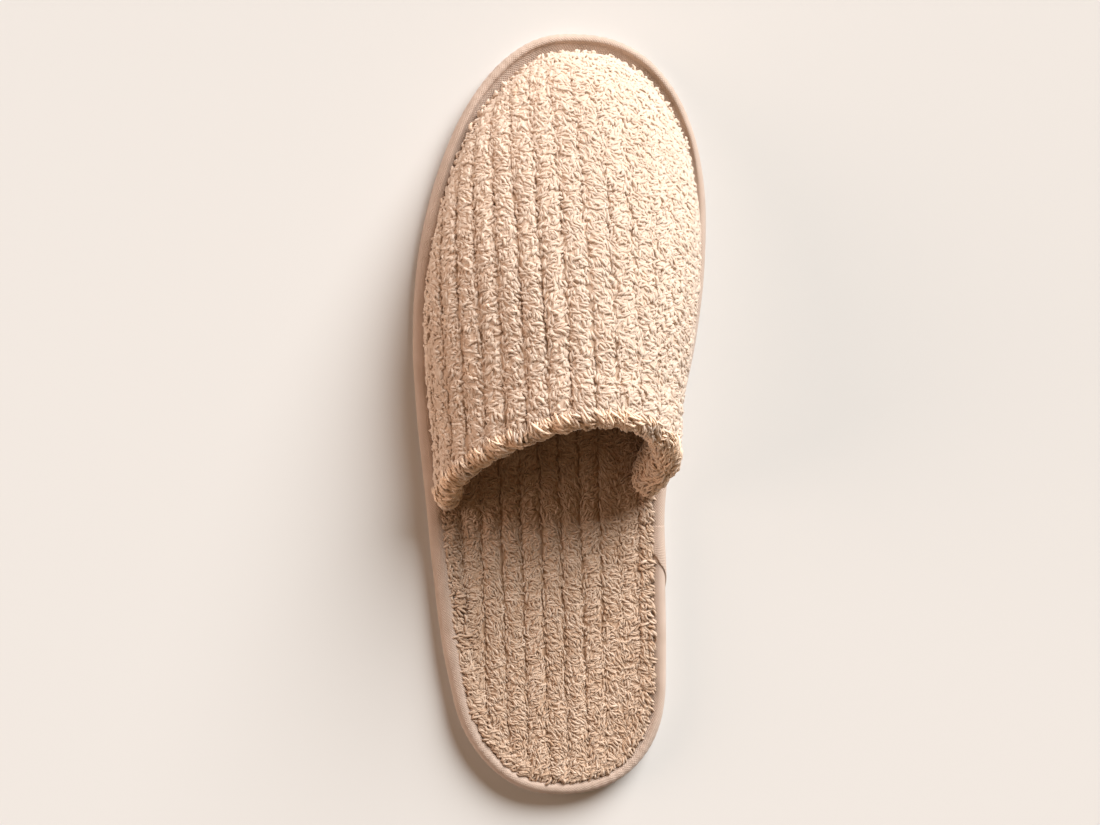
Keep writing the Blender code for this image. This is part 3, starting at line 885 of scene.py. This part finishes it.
collarPile = dict(
    upperPile, spacing=0.98, length=(5.1, 1.4), lift=(1.6, 0.65), radius=(0.54, 0.07), curl=0.6,
    # tone near the top of its ramp is a painted glow of the roll's loops against the light, with less painted
    # shade at the root
    jitter=0.3, lump=0.22, tone=0.99, rootShade=0.90, drawn=0.15,
    # how the strands swirl, the rows that the roll takes up, and from where to how far past the top
    # of its rim it grows, deeper on the inner side
    swirl=0.35, swirlSize=10.0, rowsBefore=14, rowsAfter=34,
    startsBefore=7.0, innerFrom=18.0, innerDepth=26.0, outerDepth=13.0,
)
collar = sheetRows(outerRows - collarPile["rowsBefore"],
                   outerRows + upper["rimRows"] + collarPile["rowsAfter"])
# over the fold the sheet's own columns carry the direction, so the field that across follows is the
# place along the collar
width = np.linalg.norm(np.diff(collar["point"], axis=1, prepend=collar["point"][:, :1]), axis=2)
collar["rib"], collar["fabric"] = np.cumsum(width, axis=1), collar["rib"]
roots = scatter(collar, collarPile["spacing"], rng)
deepest = np.where(roots["point"][:, 0] > collarPile["innerFrom"],
                   collarPile["innerDepth"], collarPile["outerDepth"])
roots = pick(roots, (roots["past"] > -collarPile["startsBefore"]) & (roots["past"] < deepest))
roots["rib"] = roots["fabric"]
heading = np.pi + rng.normal(0.0, collarPile["jitter"], len(roots["rib"]))
heading = heading + collarPile["swirl"] * softNoise(roots["rib"], roots["past"], collarPile["swirlSize"], rng)
finishPiece(growPile("upper_pile_collar", roots, collarPile, heading, rng, upperPlush))


def growEdge(name, start, end, style, rng, material):
    # ragged tufts that lie out over the binding between two arc lengths: roots scattered between two
    # insets and two heights, headings spread round the way outwards
    s = rng.uniform(start, end, style["count"])
    inset = rng.uniform(*style["insets"], len(s)) + yarn["edgeWidening"] * widening(edgeAt(s)[1])
    roots = edgeRoots(s, inset, rng.uniform(*style["heights"], len(s)), style["lean"])
    roots["rib"] = s
    heading = style["outwards"] + rng.normal(0.0, style["jitter"], len(s))
    heading = heading + yarn["edgeSwirl"] * softNoise(s, s, yarn["edgeSwirlSize"], rng)
    finishPiece(growPile(name, roots, style, heading, rng, material))


upperEdge = dict(
    upperPile, length=(3.0, 0.8), lift=(0.9, 0.3), radius=(0.82, 0.10), curl=1.6, jitter=0.8,
    outwards=quarterTurn, count=1100, insets=(4.9, 7.4), heights=(9.0, 11.8), lean=-0.5, margin=1.0,
)
growEdge("upper_pile_edge", footS["inner"] + upperEdge["margin"], footS["outer"] - upperEdge["margin"],
         upperEdge, rng, upperPlush)

insole = {
    "top": topOf("insole"),
    "floor": bottomOf("insole"),
    # the pad's edge: its inset behind and in front and where it steps between them, how it rounds
    # off, and how much lower the pad is at its sides than in its middle
    "inset": 6.3,
    "insetFront": 11.2,
    "corner": 0.8,
    "cornerWidth": 1.28,
    "crown": 1.7,
    "crownWidth": 42.0,
    "stepY": {"outer": -36.3, "inner": -29.3},
    "stepHalf": 1.5,
    "rungs": 175,
    "across": 81,
    "tipCrowding": 0.35,
    "ribPitch": 7.45,
    "ribDepth": 1.1,
    "ribWobble": 0.3,
    "wobbleSize": 9.0,
    "wobbleSeed": 4,
    # how much shallower the valleys are towards the inner side, and where they grow so
    "worn": 0.8,
    "wornX": (12.0, 26.0),
    "skinSink": 0.9,
    "ribTurn": np.radians(3.5),
    "ribStart": -8.1,
}


def ladder(rungs, across, insetOf):
    # grid over the sole: rungs join equal shares of the inner and the outer side, from the heel tip
    # to the toe tip, closer together at the tips, each end moved inwards by its inset
    crowded = (1.0 - np.cos(np.linspace(0.0, np.pi, rungs))) / 2
    share = crowded * insole["tipCrowding"] + np.linspace(0, 1, rungs) * (1.0 - insole["tipCrowding"])
    innerS = share * edge["toe"]
    outerS = edge["length"] - share * (edge["length"] - edge["toe"])
    sides = []
    for side, s in (("outer", outerS), ("inner", innerS)):
        x, y, inX, inY = edgeAt(s)
        inset = insetOf(side, y)
        sides.append(np.stack([x + inX * inset, y + inY * inset], axis=-1))
    outer, inner = sides
    # at the tips both sides are one point
    outer[[0, -1]] = inner[[0, -1]] = (outer[[0, -1]] + inner[[0, -1]]) / 2
    across = np.linspace(0.0, 1.0, across)[None, :, None]
    return outer[:, None] * (1 - across) + inner[:, None] * across


def insoleInset(side, y):
    # the pad's edge keeps off the binding, and in front off the wall of the upper
    step, half = insole["stepY"][side], insole["stepHalf"]
    front = easeBetween(y, step - half, step + half)
    return insole["inset"] + (insole["insetFront"] - insole["inset"] + widening(y)) * front


def insoleRib(x, y):
    # the ribs run over the pad, turned a little from its length, and waver slightly
    straight = x * np.cos(insole["ribTurn"]) + y * np.sin(insole["ribTurn"]) - insole["ribStart"]
    waver = softNoise(x, y, insole["wobbleSize"], np.random.default_rng(insole["wobbleSeed"]))
    return straight + insole["ribWobble"] * waver


def makeInsole():
    # pad of rungs: its top is crowned, dips between the ribs, less towards the inner side, and
    # rounds down at its edge; its underside is flat
    top = ladder(insole["rungs"], insole["across"], insoleInset)
    x, y = top[..., 0], top[..., 1]
    rib = insoleRib(x, y)
    place = np.linspace(-1.0, 1.0, insole["across"])[None, :]
    halfWidth = np.linalg.norm(top[:, -1] - top[:, 0], axis=1)[:, None] / 2
    endGap = np.minimum(y - y[0], y[-1] - y)
    fromEdge = np.minimum((1 - np.abs(place)) * halfWidth, endGap)
    rounding = insole["corner"] * (1 - smoothStep(fromEdge / insole["cornerWidth"]))
    rounding += insole["crown"] * (place * halfWidth / insole["crownWidth"]) ** 2
    depth = insole["ribDepth"] * (1 - insole["worn"] * easeBetween(x, *insole["wornX"]))
    z = insole["top"] - insole["skinSink"] + ribHeight(rib, insole["ribPitch"], depth) - rounding
    point = np.concatenate([top, z[..., None]], axis=-1)
    rows, columns = z.shape
    under = point.copy()
    under[..., 2] = insole["floor"]
    topQuads = gridQuads(rows, columns)
    rim = []
    number = np.arange(rows * columns).reshape(rows, columns)
    for line, flip in ((number[:, 0], 1), (number[:, -1], -1)):
        rim.append(np.stack([line[:-1], line[:-1] + rows * columns, line[1:] + rows * columns, line[1:]],
                            axis=1)[:, ::flip])
    quads = np.concatenate([topQuads[:, ::-1], topQuads + rows * columns] + rim)
    normal = vertexNormals(point.reshape(-1, 3), topQuads[:, ::-1]).reshape(point.shape)
    piece = makePiece("insole_skin", np.stack([point, under]), [quads], insolePlush,
                      {"tone": skinTone(np.tile(rib.ravel(), 2), insole["ribPitch"])})
    weld(piece)
    finishPiece(piece, node="insole")
    return {"point": point, "normal": normal, "rib": rib}


insoleSheet = makeInsole()

insolePile = {
    "spacing": 0.93,
    "splitY": -22.0,
    "frontEnd": 26.0,
    "length": (3.1, 0.7),
    "lift": (0.74, 0.20),
    "radius": (0.55, 0.06),
    "curl": 1.5,
    "lump": 0.18,
    "lumpSize": 4.5,
    "tone": 0.80,
    "toneSpread": 0.09,
    # painted shade at the roots of the strands
    "rootShade": 0.62,
    "drawn": 0.1,
    "slant": 2.3,
    "wander": 0.8,
    "jitter": 0.4,
    "valley": 0.42,
    "reach": 0.43,
    "stray": 0.10,
    "closes": ((1, -90.0, -130.0), (0, 14.0, 28.0), (0, -22.0, -38.0)),
    "closing": 0.10,
}
roots = scatter(insoleSheet, insolePile["spacing"], rng)
roots = pick(roots, onRibs(roots, insolePile, insole["ribPitch"], rng))
rootY = roots["point"][:, 1]
rear = rootY < insolePile["splitY"]
for name, chosen in (("insole_pile_rear", rear),
                     ("insole_pile_front", ~rear & (rootY < insolePile["frontEnd"]))):
    part = pick(roots, chosen)
    heading = ribHeading(part, insolePile, insole["ribPitch"], rng)
    finishPiece(growPile(name, part, insolePile, heading, rng, insolePlush))

insoleEdge = dict(
    insolePile, length=(3.1, 0.8), lift=(0.7, 0.2), radius=(0.60, 0.07), curl=1.3, jitter=0.5,
    outwards=2.3, count=2000, insets=(5.3, 9.4), heights=(7.7, 8.6), lean=-0.1,
)
growEdge("insole_pile_edge", edgeLengthAt("outer", insole["stepY"]["outer"]) - edge["length"],
         edgeLengthAt("inner", insole["stepY"]["inner"]), insoleEdge, rng, insolePlush)

binding = {
    # heights of the tape's lower edge and of the shelf that rests on the outsole
    "lip": bottomOf("binding"),
    "shelf": topOf("outsole") + gap,
    "points": 720,
    "profilePoints": 30,
    # the tape from its lip over the roll and down its long inner slope: inset from the edge of the
    # sole, height at the toe, along the outer and the inner side and at the heel, and how far the
    # row moves with the widening round the toe
    "profile": (
        {"inset": 0.9, "toe": 2.0, "outer": 2.0, "inner": 2.0, "heel": 2.0, "share": 0.0},
        {"inset": 0.2, "toe": 3.0, "outer": 3.0, "inner": 3.0, "heel": 3.0, "share": 0.0},
        {"inset": 0.0, "toe": 4.5, "outer": 4.5, "inner": 4.5, "heel": 4.5, "share": 0.0},
        {"inset": 0.1, "toe": 6.0, "outer": 5.8, "inner": 5.8, "heel": 6.1, "share": 0.0},
        {"inset": 0.5, "toe": 7.5, "outer": 6.9, "inner": 6.9, "heel": 7.4, "share": 0.0},
        {"inset": 1.1, "toe": 8.6, "outer": 7.7, "inner": 7.9, "heel": 8.2, "share": 0.02},
        {"inset": 1.8, "toe": 9.2, "outer": 8.2, "inner": 8.6, "heel": 8.6, "share": 0.08},
        {"inset": 2.4, "toe": 9.3, "outer": 8.5, "inner": 8.8, "heel": 8.7, "share": 0.16},
        {"inset": 2.9, "toe": 9.0, "outer": 8.7, "inner": 8.85, "heel": 8.7, "share": 0.22},
        {"inset": 3.3, "toe": 8.2, "outer": 8.8, "inner": 8.8, "heel": 8.6, "share": 0.26},
        {"inset": 4.5, "toe": 7.4, "outer": 8.8, "inner": 8.3, "heel": 8.0, "share": 0.5},
        {"inset": 6.0, "toe": 6.4, "outer": 8.0, "inner": 7.2, "heel": 6.8, "share": 1.0},
    ),
    # the heel's profile turns into that of the sides between the first two stations, and theirs into
    # the toe's between the other two
    "heelEnds": (-125.0, -80.0),
    "toeStarts": (70.0, 115.0),
    "backInset": 1.9,
    # the tape's own length from its lower slope round the back to the lip again
    "backPlaces": (2.0, 6.1, 8.4, 9.4),
    # small folds round the toe and the heel, and an uneven face all round
    "pucker": 0.10,
    "puckerPitch": 3.4,
    "puckerDrift": 1.5,
    "puckerDriftSize": 7.0,
    "puckerFrom": 0.6,
    "puckerSink": 0.6,
    "uneven": 0.06,
    "unevenSize": 26.0,
    "unevenStretch": 3.0,
    "unevenSeed": 5,
    # the weave
    "stops": ((0.25, (0.44, 0.325, 0.25)), (0.85, (0.60, 0.465, 0.38))),
    "threadTurns": (0.75, -0.85),
    "threadScale": 0.42,
    "threadShare": 0.6,
    "threadDepth": 0.25,
}

tapeEnd = {
    "y": -58.0,
    "length": 17.0,
    "lean": 1.3,
    "rise": 0.45,
    "sink": 0.35,
    "thickness": 0.3,
    # its folded edge starts at a share of the rise and comes up over a share of the length
    "foldRise": 0.65,
    "foldShare": 0.04,
    "profilePoints": 24,
    "points": 40,
}


def tapeProfile(count):
    # smooth curve through the rows of the profile at even steps of its length
    inset, z = (np.array([row[name] for row in binding["profile"]]) for name in ("inset", "toe"))
    chord = np.concatenate([[0.0], np.cumsum(np.hypot(np.diff(inset), np.diff(z)))])
    rows = [dict(row, y=place) for row, place in zip(binding["profile"], chord)]
    along = np.linspace(0.0, chord[-1], count)
    profile = {name: smoothCurve(rows, name, along) for name in rows[0]}
    return dict(profile, along=along)


def tapeSurface(s, profile, rise):
    # points of the tape over arc length s (rows) and profile (columns), lifted by rise along the
    # normal of the heel's profile
    slopeInset, slopeZ = np.gradient(profile["inset"]), np.gradient(profile["heel"])
    size = np.hypot(slopeInset, slopeZ)
    outInset, outZ = -slopeZ / size, slopeInset / size
    x, y, inX, inY = edgeAt(s)
    if s.ndim == 1:
        s, x, y, inX, inY = (values[:, None] for values in (s, x, y, inX, inY))
    reach = profile["inset"] + profile["share"] * widening(y) + outInset * rise
    past = easeBetween(y, *binding["heelEnds"])
    ahead = easeBetween(y, *binding["toeStarts"])
    side = np.where(s > edge["toe"], profile["outer"], profile["inner"])
    height = profile["heel"] * (1 - past) + side * (past - ahead) + profile["toe"] * ahead + outZ * rise
    return np.stack([x + inX * reach, y + inY * reach, height], axis=-1)


def tapeMaterial(name):
    # woven bias tape: two sets of fine diagonal threads on the piece's own UV map, which is in
    # millimetres, over faint stains
    material, nodes, links, shader = newMaterial(name, 0.8, sheen=0.15)
    place = addNode(nodes, "UVMap", uv_map="UVMap")
    both = addNode(nodes, "Math", operation="MULTIPLY")
    for entry, turn in enumerate(binding["threadTurns"]):
        mapping = addNode(nodes, "Mapping", {"Rotation": (0.0, 0.0, turn)})
        wave = addNode(nodes, "TexWave", {"Scale": binding["threadScale"], "Distortion": 0.6,
                                          "Detail": 1.0, "Detail Scale": 1.5})
        wire(links, (place, "UV", mapping, "Vector"), (mapping, "Vector", wave, "Vector"),
             (wave, "Fac", both, entry))
    spot = addNode(nodes, "TexCoord")
    stain = addNode(nodes, "TexNoise", {"Scale": 140.0, "Detail": 4.0})
    blend = addNode(nodes, "Math", {1: binding["threadShare"]}, operation="MULTIPLY_ADD")
    ramp = addRamp(nodes, binding["stops"])
    bump = addNode(nodes, "Bump", {"Strength": 0.7, "Distance": binding["threadDepth"] * mm})
    wire(links, (spot, "Object", stain, "Vector"), (both, 0, blend, 0), (stain, "Fac", blend, 2),
         (blend, 0, ramp, "Fac"), (ramp, "Color", shader, "Base Color"),
         (both, 0, bump, "Height"), (bump, "Normal", shader, "Normal"))
    return material


def makeBinding():
    # tape rolled over the edge of the sole, closed behind by its flat back and shelf; it puckers a
    # little where it turns round the toe and the heel
    profile = tapeProfile(binding["profilePoints"])
    along = profile["along"]
    s = np.linspace(0.0, edge["length"], binding["points"], endpoint=False)
    x, y, inX, inY = edgeAt(s)
    wave = np.sin(2 * np.pi * s / binding["puckerPitch"]
                  + binding["puckerDrift"] * np.sin(s / binding["puckerDriftSize"]))
    wave = wave * easeBetween(np.abs(y) / sole["halfLength"], binding["puckerFrom"], 1.0)
    across = np.sin(np.pi * along / along[-1]) ** 0.5
    rise = binding["pucker"] * (wave - binding["puckerSink"])[:, None] * across[None, :]
    uneven = softNoise(s[:, None], along[None, :] * binding["unevenStretch"], binding["unevenSize"],
                       np.random.default_rng(binding["unevenSeed"]))
    rise -= binding["uneven"] * (1 + uneven)
    surface = tapeSurface(s, profile, np.minimum(rise, 0.0))
    back = []
    for depth, height in ((profile["inset"][-1] + widening(y), binding["shelf"]),
                          (binding["backInset"], binding["shelf"]),
                          (binding["backInset"], binding["lip"])):
        back.append(np.stack([x + inX * depth, y + inY * depth, np.full(len(s), height)], axis=-1)[:, None])
    points = np.concatenate([surface] + back, axis=1)
    quads = gridQuads(*points.shape[:2], closeRows=True, closeColumns=True)
    uv = cornerUv(np.append(s, edge["length"]),
                  np.concatenate([along, along[-1] + np.array(binding["backPlaces"])]))
    finishPiece(makePiece("binding_tape", points, [quads], tape, uv=uv), node="binding")


def makeTapeEnd():
    # where the tape's ends meet on the inner side, the upper one lies over the other with its end
    # folded under on a slant; it sinks into the tape over its length
    profile = tapeProfile(tapeEnd["profilePoints"])
    along = profile["along"]
    start = edgeLengthAt("inner", tapeEnd["y"])
    share = np.linspace(0.0, 1.0, tapeEnd["points"])
    lean = (along / along[-1] - 0.5) * along[-1] * tapeEnd["lean"]
    s = start + share[:, None] * tapeEnd["length"] + lean[None, :] * (1 - share[:, None])
    fold = tapeEnd["foldRise"] + (1 - tapeEnd["foldRise"]) * smoothStep(share / tapeEnd["foldShare"])
    rise = np.broadcast_to((tapeEnd["rise"] * (1 - smoothStep(share)) * fold)[:, None], s.shape)
    layers = [tapeSurface(s, profile, lift) for lift in (rise, np.full(s.shape, -tapeEnd["sink"]))]
    rows, columns = s.shape
    grid = np.concatenate([layers[0], layers[1][:, ::-1]], axis=1)
    wall = gridQuads(rows, 2 * columns, closeColumns=True)
    ends = []
    for row, flip in ((0, 1), (rows - 1, -1)):
        top = row * 2 * columns + np.arange(columns)
        under = row * 2 * columns + 2 * columns - 1 - np.arange(columns)
        ends.append(np.stack([top[:-1], top[1:], under[1:], under[:-1]], axis=1)[:, ::flip])
    uv = cornerUv(np.linspace(0.0, tapeEnd["length"], rows),
                  np.concatenate([along, along[::-1] + tapeEnd["thickness"], along[:1]]))
    uv = np.concatenate([uv, np.zeros((4 * sum(map(len, ends)), 2))])
    piece = makePiece("binding_tape_end", grid, [wall] + ends, tape, uv=uv)
    weld(piece)
    finishPiece(piece)


tape = tapeMaterial("binding_tape")
makeBinding()
makeTapeEnd()

outsole = {
    # herringbone: width of a band, pitch of its strokes, the share of it that is raised and that
    # its soft edge takes, and slope and height of the strokes
    "bandWidth": 11.4,
    "strokePitch": 5.1,
    "strokeShare": 0.6,
    "strokeEdge": 0.09,
    "strokeSlope": np.tan(np.radians(34.0)),
    "relief": 0.7,
    # the embossed sheet: bands across, columns of points over them, strokes either way along, how
    # thick it is and how wide its sunk margin; the nudge keeps its points off the strokes' ends
    "bands": 11,
    "columns": 45,
    "periods": 34,
    "fieldInset": 7.2,
    "sheet": 0.5,
    "sinkWidth": 1.2,
    "nudge": 1e-6,
    "blocks": 24,
    # the border: its relief, the insets between which the strokes come and go on it, its tone and the painted
    # shade in its dips between the strokes
    "borderRelief": 0.4,
    "borderStarts": (1.2, 2.2),
    "borderEnds": (5.9, 4.7),
    "borderTone": 0.85,
    "dipShade": 0.3,
    "points": 1100,
    "stops": ((0.4, (0.56, 0.55, 0.53)), (0.95, (0.80, 0.79, 0.765))),
    "poreScale": 1400.0,
    "poreDepth": 0.2,
    # the stitched groove and the puffed border round the field, from the field outwards and up
    "profile": (
        {"inset": 7.9, "z": 0.85},
        {"inset": 7.1, "z": 0.50},
        {"inset": 6.8, "z": 0.80},
        {"inset": 6.1, "z": 0.80},
        {"inset": 5.7, "z": 0.32},
        {"inset": 5.2, "z": 0.08},
        {"inset": 4.5, "z": 0.0},
        {"inset": 3.8, "z": 0.0},
        {"inset": 3.1, "z": 0.0},
        {"inset": 2.4, "z": 0.05},
        {"inset": 1.7, "z": 0.20},
        {"inset": 1.2, "z": 0.55},
        {"inset": 0.95, "z": 1.0},
        {"inset": 1.15, "z": 1.55},
        {"inset": 2.2, "z": 1.7},
        {"inset": 2.2, "z": 4.0},
    ),
}


def zigzag(x):
    # triangle wave across the bands: it climbs over one band and falls over the next
    return np.abs(np.mod(x / outsole["bandWidth"] + 0.5, 2.0) - 1.0) * outsole["bandWidth"]


def herringbone(x, y):
    # 1 on a raised stroke, 0 between strokes, with soft edges; strokes follow the zigzag
    phase = np.mod((y - outsole["strokeSlope"] * zigzag(x)) / outsole["strokePitch"], 1.0)
    rise = smoothStep(phase / outsole["strokeEdge"])
    fall = smoothStep((phase - outsole["strokeShare"]) / outsole["strokeEdge"])
    return rise - fall


def insetAt(x, y):
    # distance inwards from the edge of the sole, with the number of the nearest point of the edge;
    # a few blocks of points at a time, to save memory
    near = np.empty(len(x), int)
    for part in np.array_split(np.arange(len(x)), outsole["blocks"]):
        far = (x[part, None] - edge["x"]) ** 2 + (y[part, None] - edge["y"]) ** 2
        near[part] = far.argmin(axis=1)
    inset = (x - edge["x"][near]) * edge["inX"][near] + (y - edge["y"][near]) * edge["inY"][near]
    return inset, near


def makeOutsoleField():
    # embossed sheet inside the stitching: its rows of points run along the zigzag, so that every
    # stroke has straight edges; points outside the field move to its boundary
    edgeShare, share = outsole["strokeEdge"], outsole["strokeShare"]
    stops = np.array([0.0, edgeShare / 2, edgeShare, share / 2, share, share + edgeShare / 2,
                      share + edgeShare, (1 + share + edgeShare) / 2])
    periods = np.arange(-outsole["periods"], outsole["periods"])
    rowY = ((periods[:, None] + stops[None, :]) * outsole["strokePitch"]).ravel()
    reach = outsole["bands"] / 2
    columnX = np.linspace(-reach, reach, outsole["columns"]) * outsole["bandWidth"]
    x = np.broadcast_to(columnX[None, :], (len(rowY), len(columnX)))
    y = rowY[:, None] + outsole["strokeSlope"] * zigzag(x)
    height = outsole["relief"] * (1.0 - herringbone(x, y - outsole["nudge"]))
    flatX, flatY, flatZ = x.ravel(), y.ravel(), height.ravel()
    inset, near = insetAt(flatX, flatY)
    inside = inset > outsole["fieldInset"]
    quads = gridQuads(*x.shape)
    quads = quads[inside[quads].any(axis=1)]
    boundX = edge["x"][near] + edge["inX"][near] * outsole["fieldInset"]
    boundY = edge["y"][near] + edge["inY"][near] * outsole["fieldInset"]
    sunk = smoothStep(1.0 - (inset - outsole["fieldInset"]) / outsole["sinkWidth"])
    z = flatZ + (outsole["relief"] - flatZ) * sunk
    points = np.stack([np.where(inside, flatX, boundX), np.where(inside, flatY, boundY), z], axis=-1)
    # painted shade: the tone is lower, so the foam darker, where the sheet lies deeper between the strokes
    # and in its sunk margin
    tone = 0.5 + 0.5 * (1.0 - z / outsole["relief"])
    piece = makePiece("outsole_field", points, [quads], foam, {"tone": tone})
    weld(piece, closed=False)
    wall = piece.modifiers.new("thickness", "SOLIDIFY")
    wall.thickness = outsole["sheet"] * mm
    wall.offset = -1.0
    finishPiece(piece)


def makeOutsoleBody():
    # foam body: groove, puffed border with the strokes running on over it, side wall and flat top
    s = np.linspace(0.0, edge["length"], outsole["points"], endpoint=False)
    x, y, inX, inY = edgeAt(s)
    rings, tones = [], []
    for row in outsole["profile"]:
        inset = row["inset"]
        ringX, ringY = x + inX * inset, y + inY * inset
        onBorder = easeBetween(inset, *outsole["borderStarts"]) * easeBetween(inset, *outsole["borderEnds"])
        dip = onBorder * (1.0 - herringbone(ringX, ringY))
        rings.append(np.stack([ringX, ringY, row["z"] + outsole["borderRelief"] * dip], axis=-1))
        # painted shade: darker in the dips between the strokes on the border
        tones.append(outsole["borderTone"] - outsole["dipShade"] * dip)
    points, tone = np.stack(rings), np.stack(tones)
    rows, columns = tone.shape
    quads = gridQuads(rows, columns, closeColumns=True)
    rungs = []
    for row, flip in ((0, 1), (rows - 1, -1)):
        loop = row * columns + np.arange(columns)
        left, right = loop[1:columns // 2], loop[:columns // 2:-1]
        rungs.append(np.stack([left[:-1], left[1:], right[1:], right[:-1]], axis=1)[:, ::flip])
        ends = np.stack([[loop[0], left[0], right[0]], [loop[columns // 2], right[-1], left[-1]]])
        rungs.append(ends[:, ::flip])
    piece = makePiece("outsole_body", points, [quads[:, ::-1]] + rungs, foam, {"tone": tone})
    finishPiece(piece, node="outsole")


def foamMaterial(name):
    # pale closed foam with painted shade, a little darker in the recesses between the strokes, with fine
    # pores
    material, nodes, links, shader = newMaterial(name, 0.55)
    tone = addNode(nodes, "Attribute", attribute_name="tone")
    ramp = addRamp(nodes, outsole["stops"])
    wire(links, (tone, "Fac", ramp, "Fac"), (ramp, "Color", shader, "Base Color"))
    fineBump(nodes, links, shader, outsole["poreScale"], 3.0, 0.3, outsole["poreDepth"])
    return material


foam = foamMaterial("outsole_foam")
makeOutsoleField()
makeOutsoleBody()

stitches = {
    # the row in the groove of the sole and the row along the binding's inner slope: how far in from
    # the edge, how far that moves with the widening, height, how far a stitch leans and is turned,
    # and the thread's colour
    "sole_stitches": {"inset": 6.45, "widening": 0.0, "height": 0.75, "lean": np.pi, "pitch": 3.6,
                      "length": 3.3, "lift": 0.62, "radius": 0.25, "turn": 0.12,
                      "slot": "outsole_foam", "thread": "sole_thread", "colour": (0.72, 0.71, 0.68)},
    "binding_stitches": {"inset": 5.0, "widening": 1.0, "height": 7.25, "lean": 0.6, "pitch": 2.6,
                         "length": 1.3, "lift": 0.5, "radius": 0.17, "turn": 0.0,
                         "slot": "binding_tape", "thread": "binding_thread", "colour": (0.50, 0.34, 0.24)},
}
twist = {
    "scale": 3000.0,
    "strength": 0.4,
    "depth": 0.1,
}


def threadMaterial(name, colour):
    # matt sewing thread with a fine twist
    material, nodes, links, shader = newMaterial(name, 0.7, sheen=0.1)
    shader.inputs["Base Color"].default_value = (*colour, 1.0)
    fineBump(nodes, links, shader, twist["scale"], 1.0, twist["strength"], twist["depth"])
    return material


def makeStitches(name, stitch):
    # a row of equal strands at even steps round the edge, as near the pitch as whole stitches allow
    count = int(edge["length"] / stitch["pitch"])
    s = (np.arange(count) + 0.5) * edge["length"] / count
    inset = stitch["inset"] + stitch["widening"] * widening(edgeAt(s)[1])
    roots = edgeRoots(s, inset, stitch["height"], stitch["lean"])
    turn, curl, length, lift, radius, tone = (
        np.full(count, value) for value in (stitch["turn"], 0.0, stitch["length"], stitch["lift"],
                                            stitch["radius"], 1.0))
    thread = threadMaterial(stitch["thread"], stitch["colour"])
    finishPiece(growStrands(name, roots, turn, curl, length, lift, radius, tone, thread))


for name, stitch in stitches.items():
    makeStitches(name, stitch)

view = {
    # the camera looks at the pivot from its distance, tipped sideways and rolled, and then moves a
    # little right and up; lens and sensor in millimetres
    "pivot": (0.0, 0.0, 10.0),
    "distance": 900.0,
    "sideways": np.radians(8.0),
    "roll": np.radians(1.5),
    "aimRight": -3.35,
    "aimUp": 0.56,
    "lens": 79.08,
    "sensor": 36.0,
}


def makeCamera():
    # looks down on the slipper from a little towards its outer side, rolled so that the toe leans
    right = np.array([np.cos(view["sideways"]), 0.0, np.sin(view["sideways"])])
    up = np.array([0.0, 1.0, 0.0])
    back = np.cross(right, up)
    turn = view["roll"]
    right, up = right * np.cos(turn) + up * np.sin(turn), up * np.cos(turn) - right * np.sin(turn)
    place = (np.array(view["pivot"]) + back * view["distance"]
             + right * view["aimRight"] + up * view["aimUp"])
    data = bpy.data.cameras.new("camera")
    data.lens = view["lens"]
    data.sensor_width = view["sensor"]
    camera = bpy.data.objects.new("camera", data)
    bpy.context.scene.collection.objects.link(camera)
    matrix = Matrix.Identity(4)
    for k, axis in enumerate((right, up, back, place * mm)):
        matrix.col[k][:3] = axis
    camera.matrix_world = matrix
    bpy.context.scene.camera = camera


light = {
    # a soft low light from beyond the toe on the inner side and a warm weak fill from the outer
    # side: where each comes from, its colour, its strength and how wide it looks
    "lamps": {
        "key_light": {"place": (0.43, 0.745, 0.51), "colour": (1.0, 1.0, 1.0), "strength": 6.1,
                      "angle": np.radians(40.0)},
        "fill_light": {"place": (-0.96, 0.06, 0.27), "colour": (1.0, 0.75, 0.63), "strength": 1.55,
                       "angle": np.radians(40.0)},
    },
    "worldColour": (1.0, 0.64, 0.36),
    "worldStrength": 0.17,
    "floorColour": (0.69, 0.68, 0.66),
    "floorReach": 3.0,
}


def makeLight():
    # lamps that shine from their place to the middle, and an even sky
    for name, lamp in light["lamps"].items():
        data = bpy.data.lights.new(name, "SUN")
        data.color = lamp["colour"]
        data.energy = lamp["strength"]
        data.angle = lamp["angle"]
        piece = bpy.data.objects.new(name, data)
        piece.location = lamp["place"]
        piece.rotation_euler = Vector(lamp["place"]).to_track_quat("Z", "Y").to_euler()
        bpy.context.scene.collection.objects.link(piece)
    world = bpy.data.worlds.new("studio")
    world.use_nodes = True
    background = world.node_tree.nodes["Background"]
    background.inputs["Color"].default_value = (*light["worldColour"], 1.0)
    background.inputs["Strength"].default_value = light["worldStrength"]
    bpy.context.scene.world = world
    bpy.context.scene.view_settings.view_transform = "Standard"


def makeFloor():
    # one wide pale square under the slipper
    material, _, _, shader = newMaterial("floor", 0.9)
    shader.inputs["Base Color"].default_value = (*light["floorColour"], 1.0)
    shader.inputs["Specular IOR Level"].default_value = 0.1
    mesh = bpy.data.meshes.new("floor")
    reach = light["floorReach"]
    mesh.from_pydata([(-reach, -reach, 0), (reach, -reach, 0), (reach, reach, 0), (-reach, reach, 0)],
                     [], [(0, 1, 2, 3)])
    mesh.materials.append(material)
    floor = bpy.data.objects.new("floor", mesh)
    bpy.context.scene.collection.objects.link(floor)


makeCamera()
makeLight()
makeFloor()
print("camera, light and floor set")
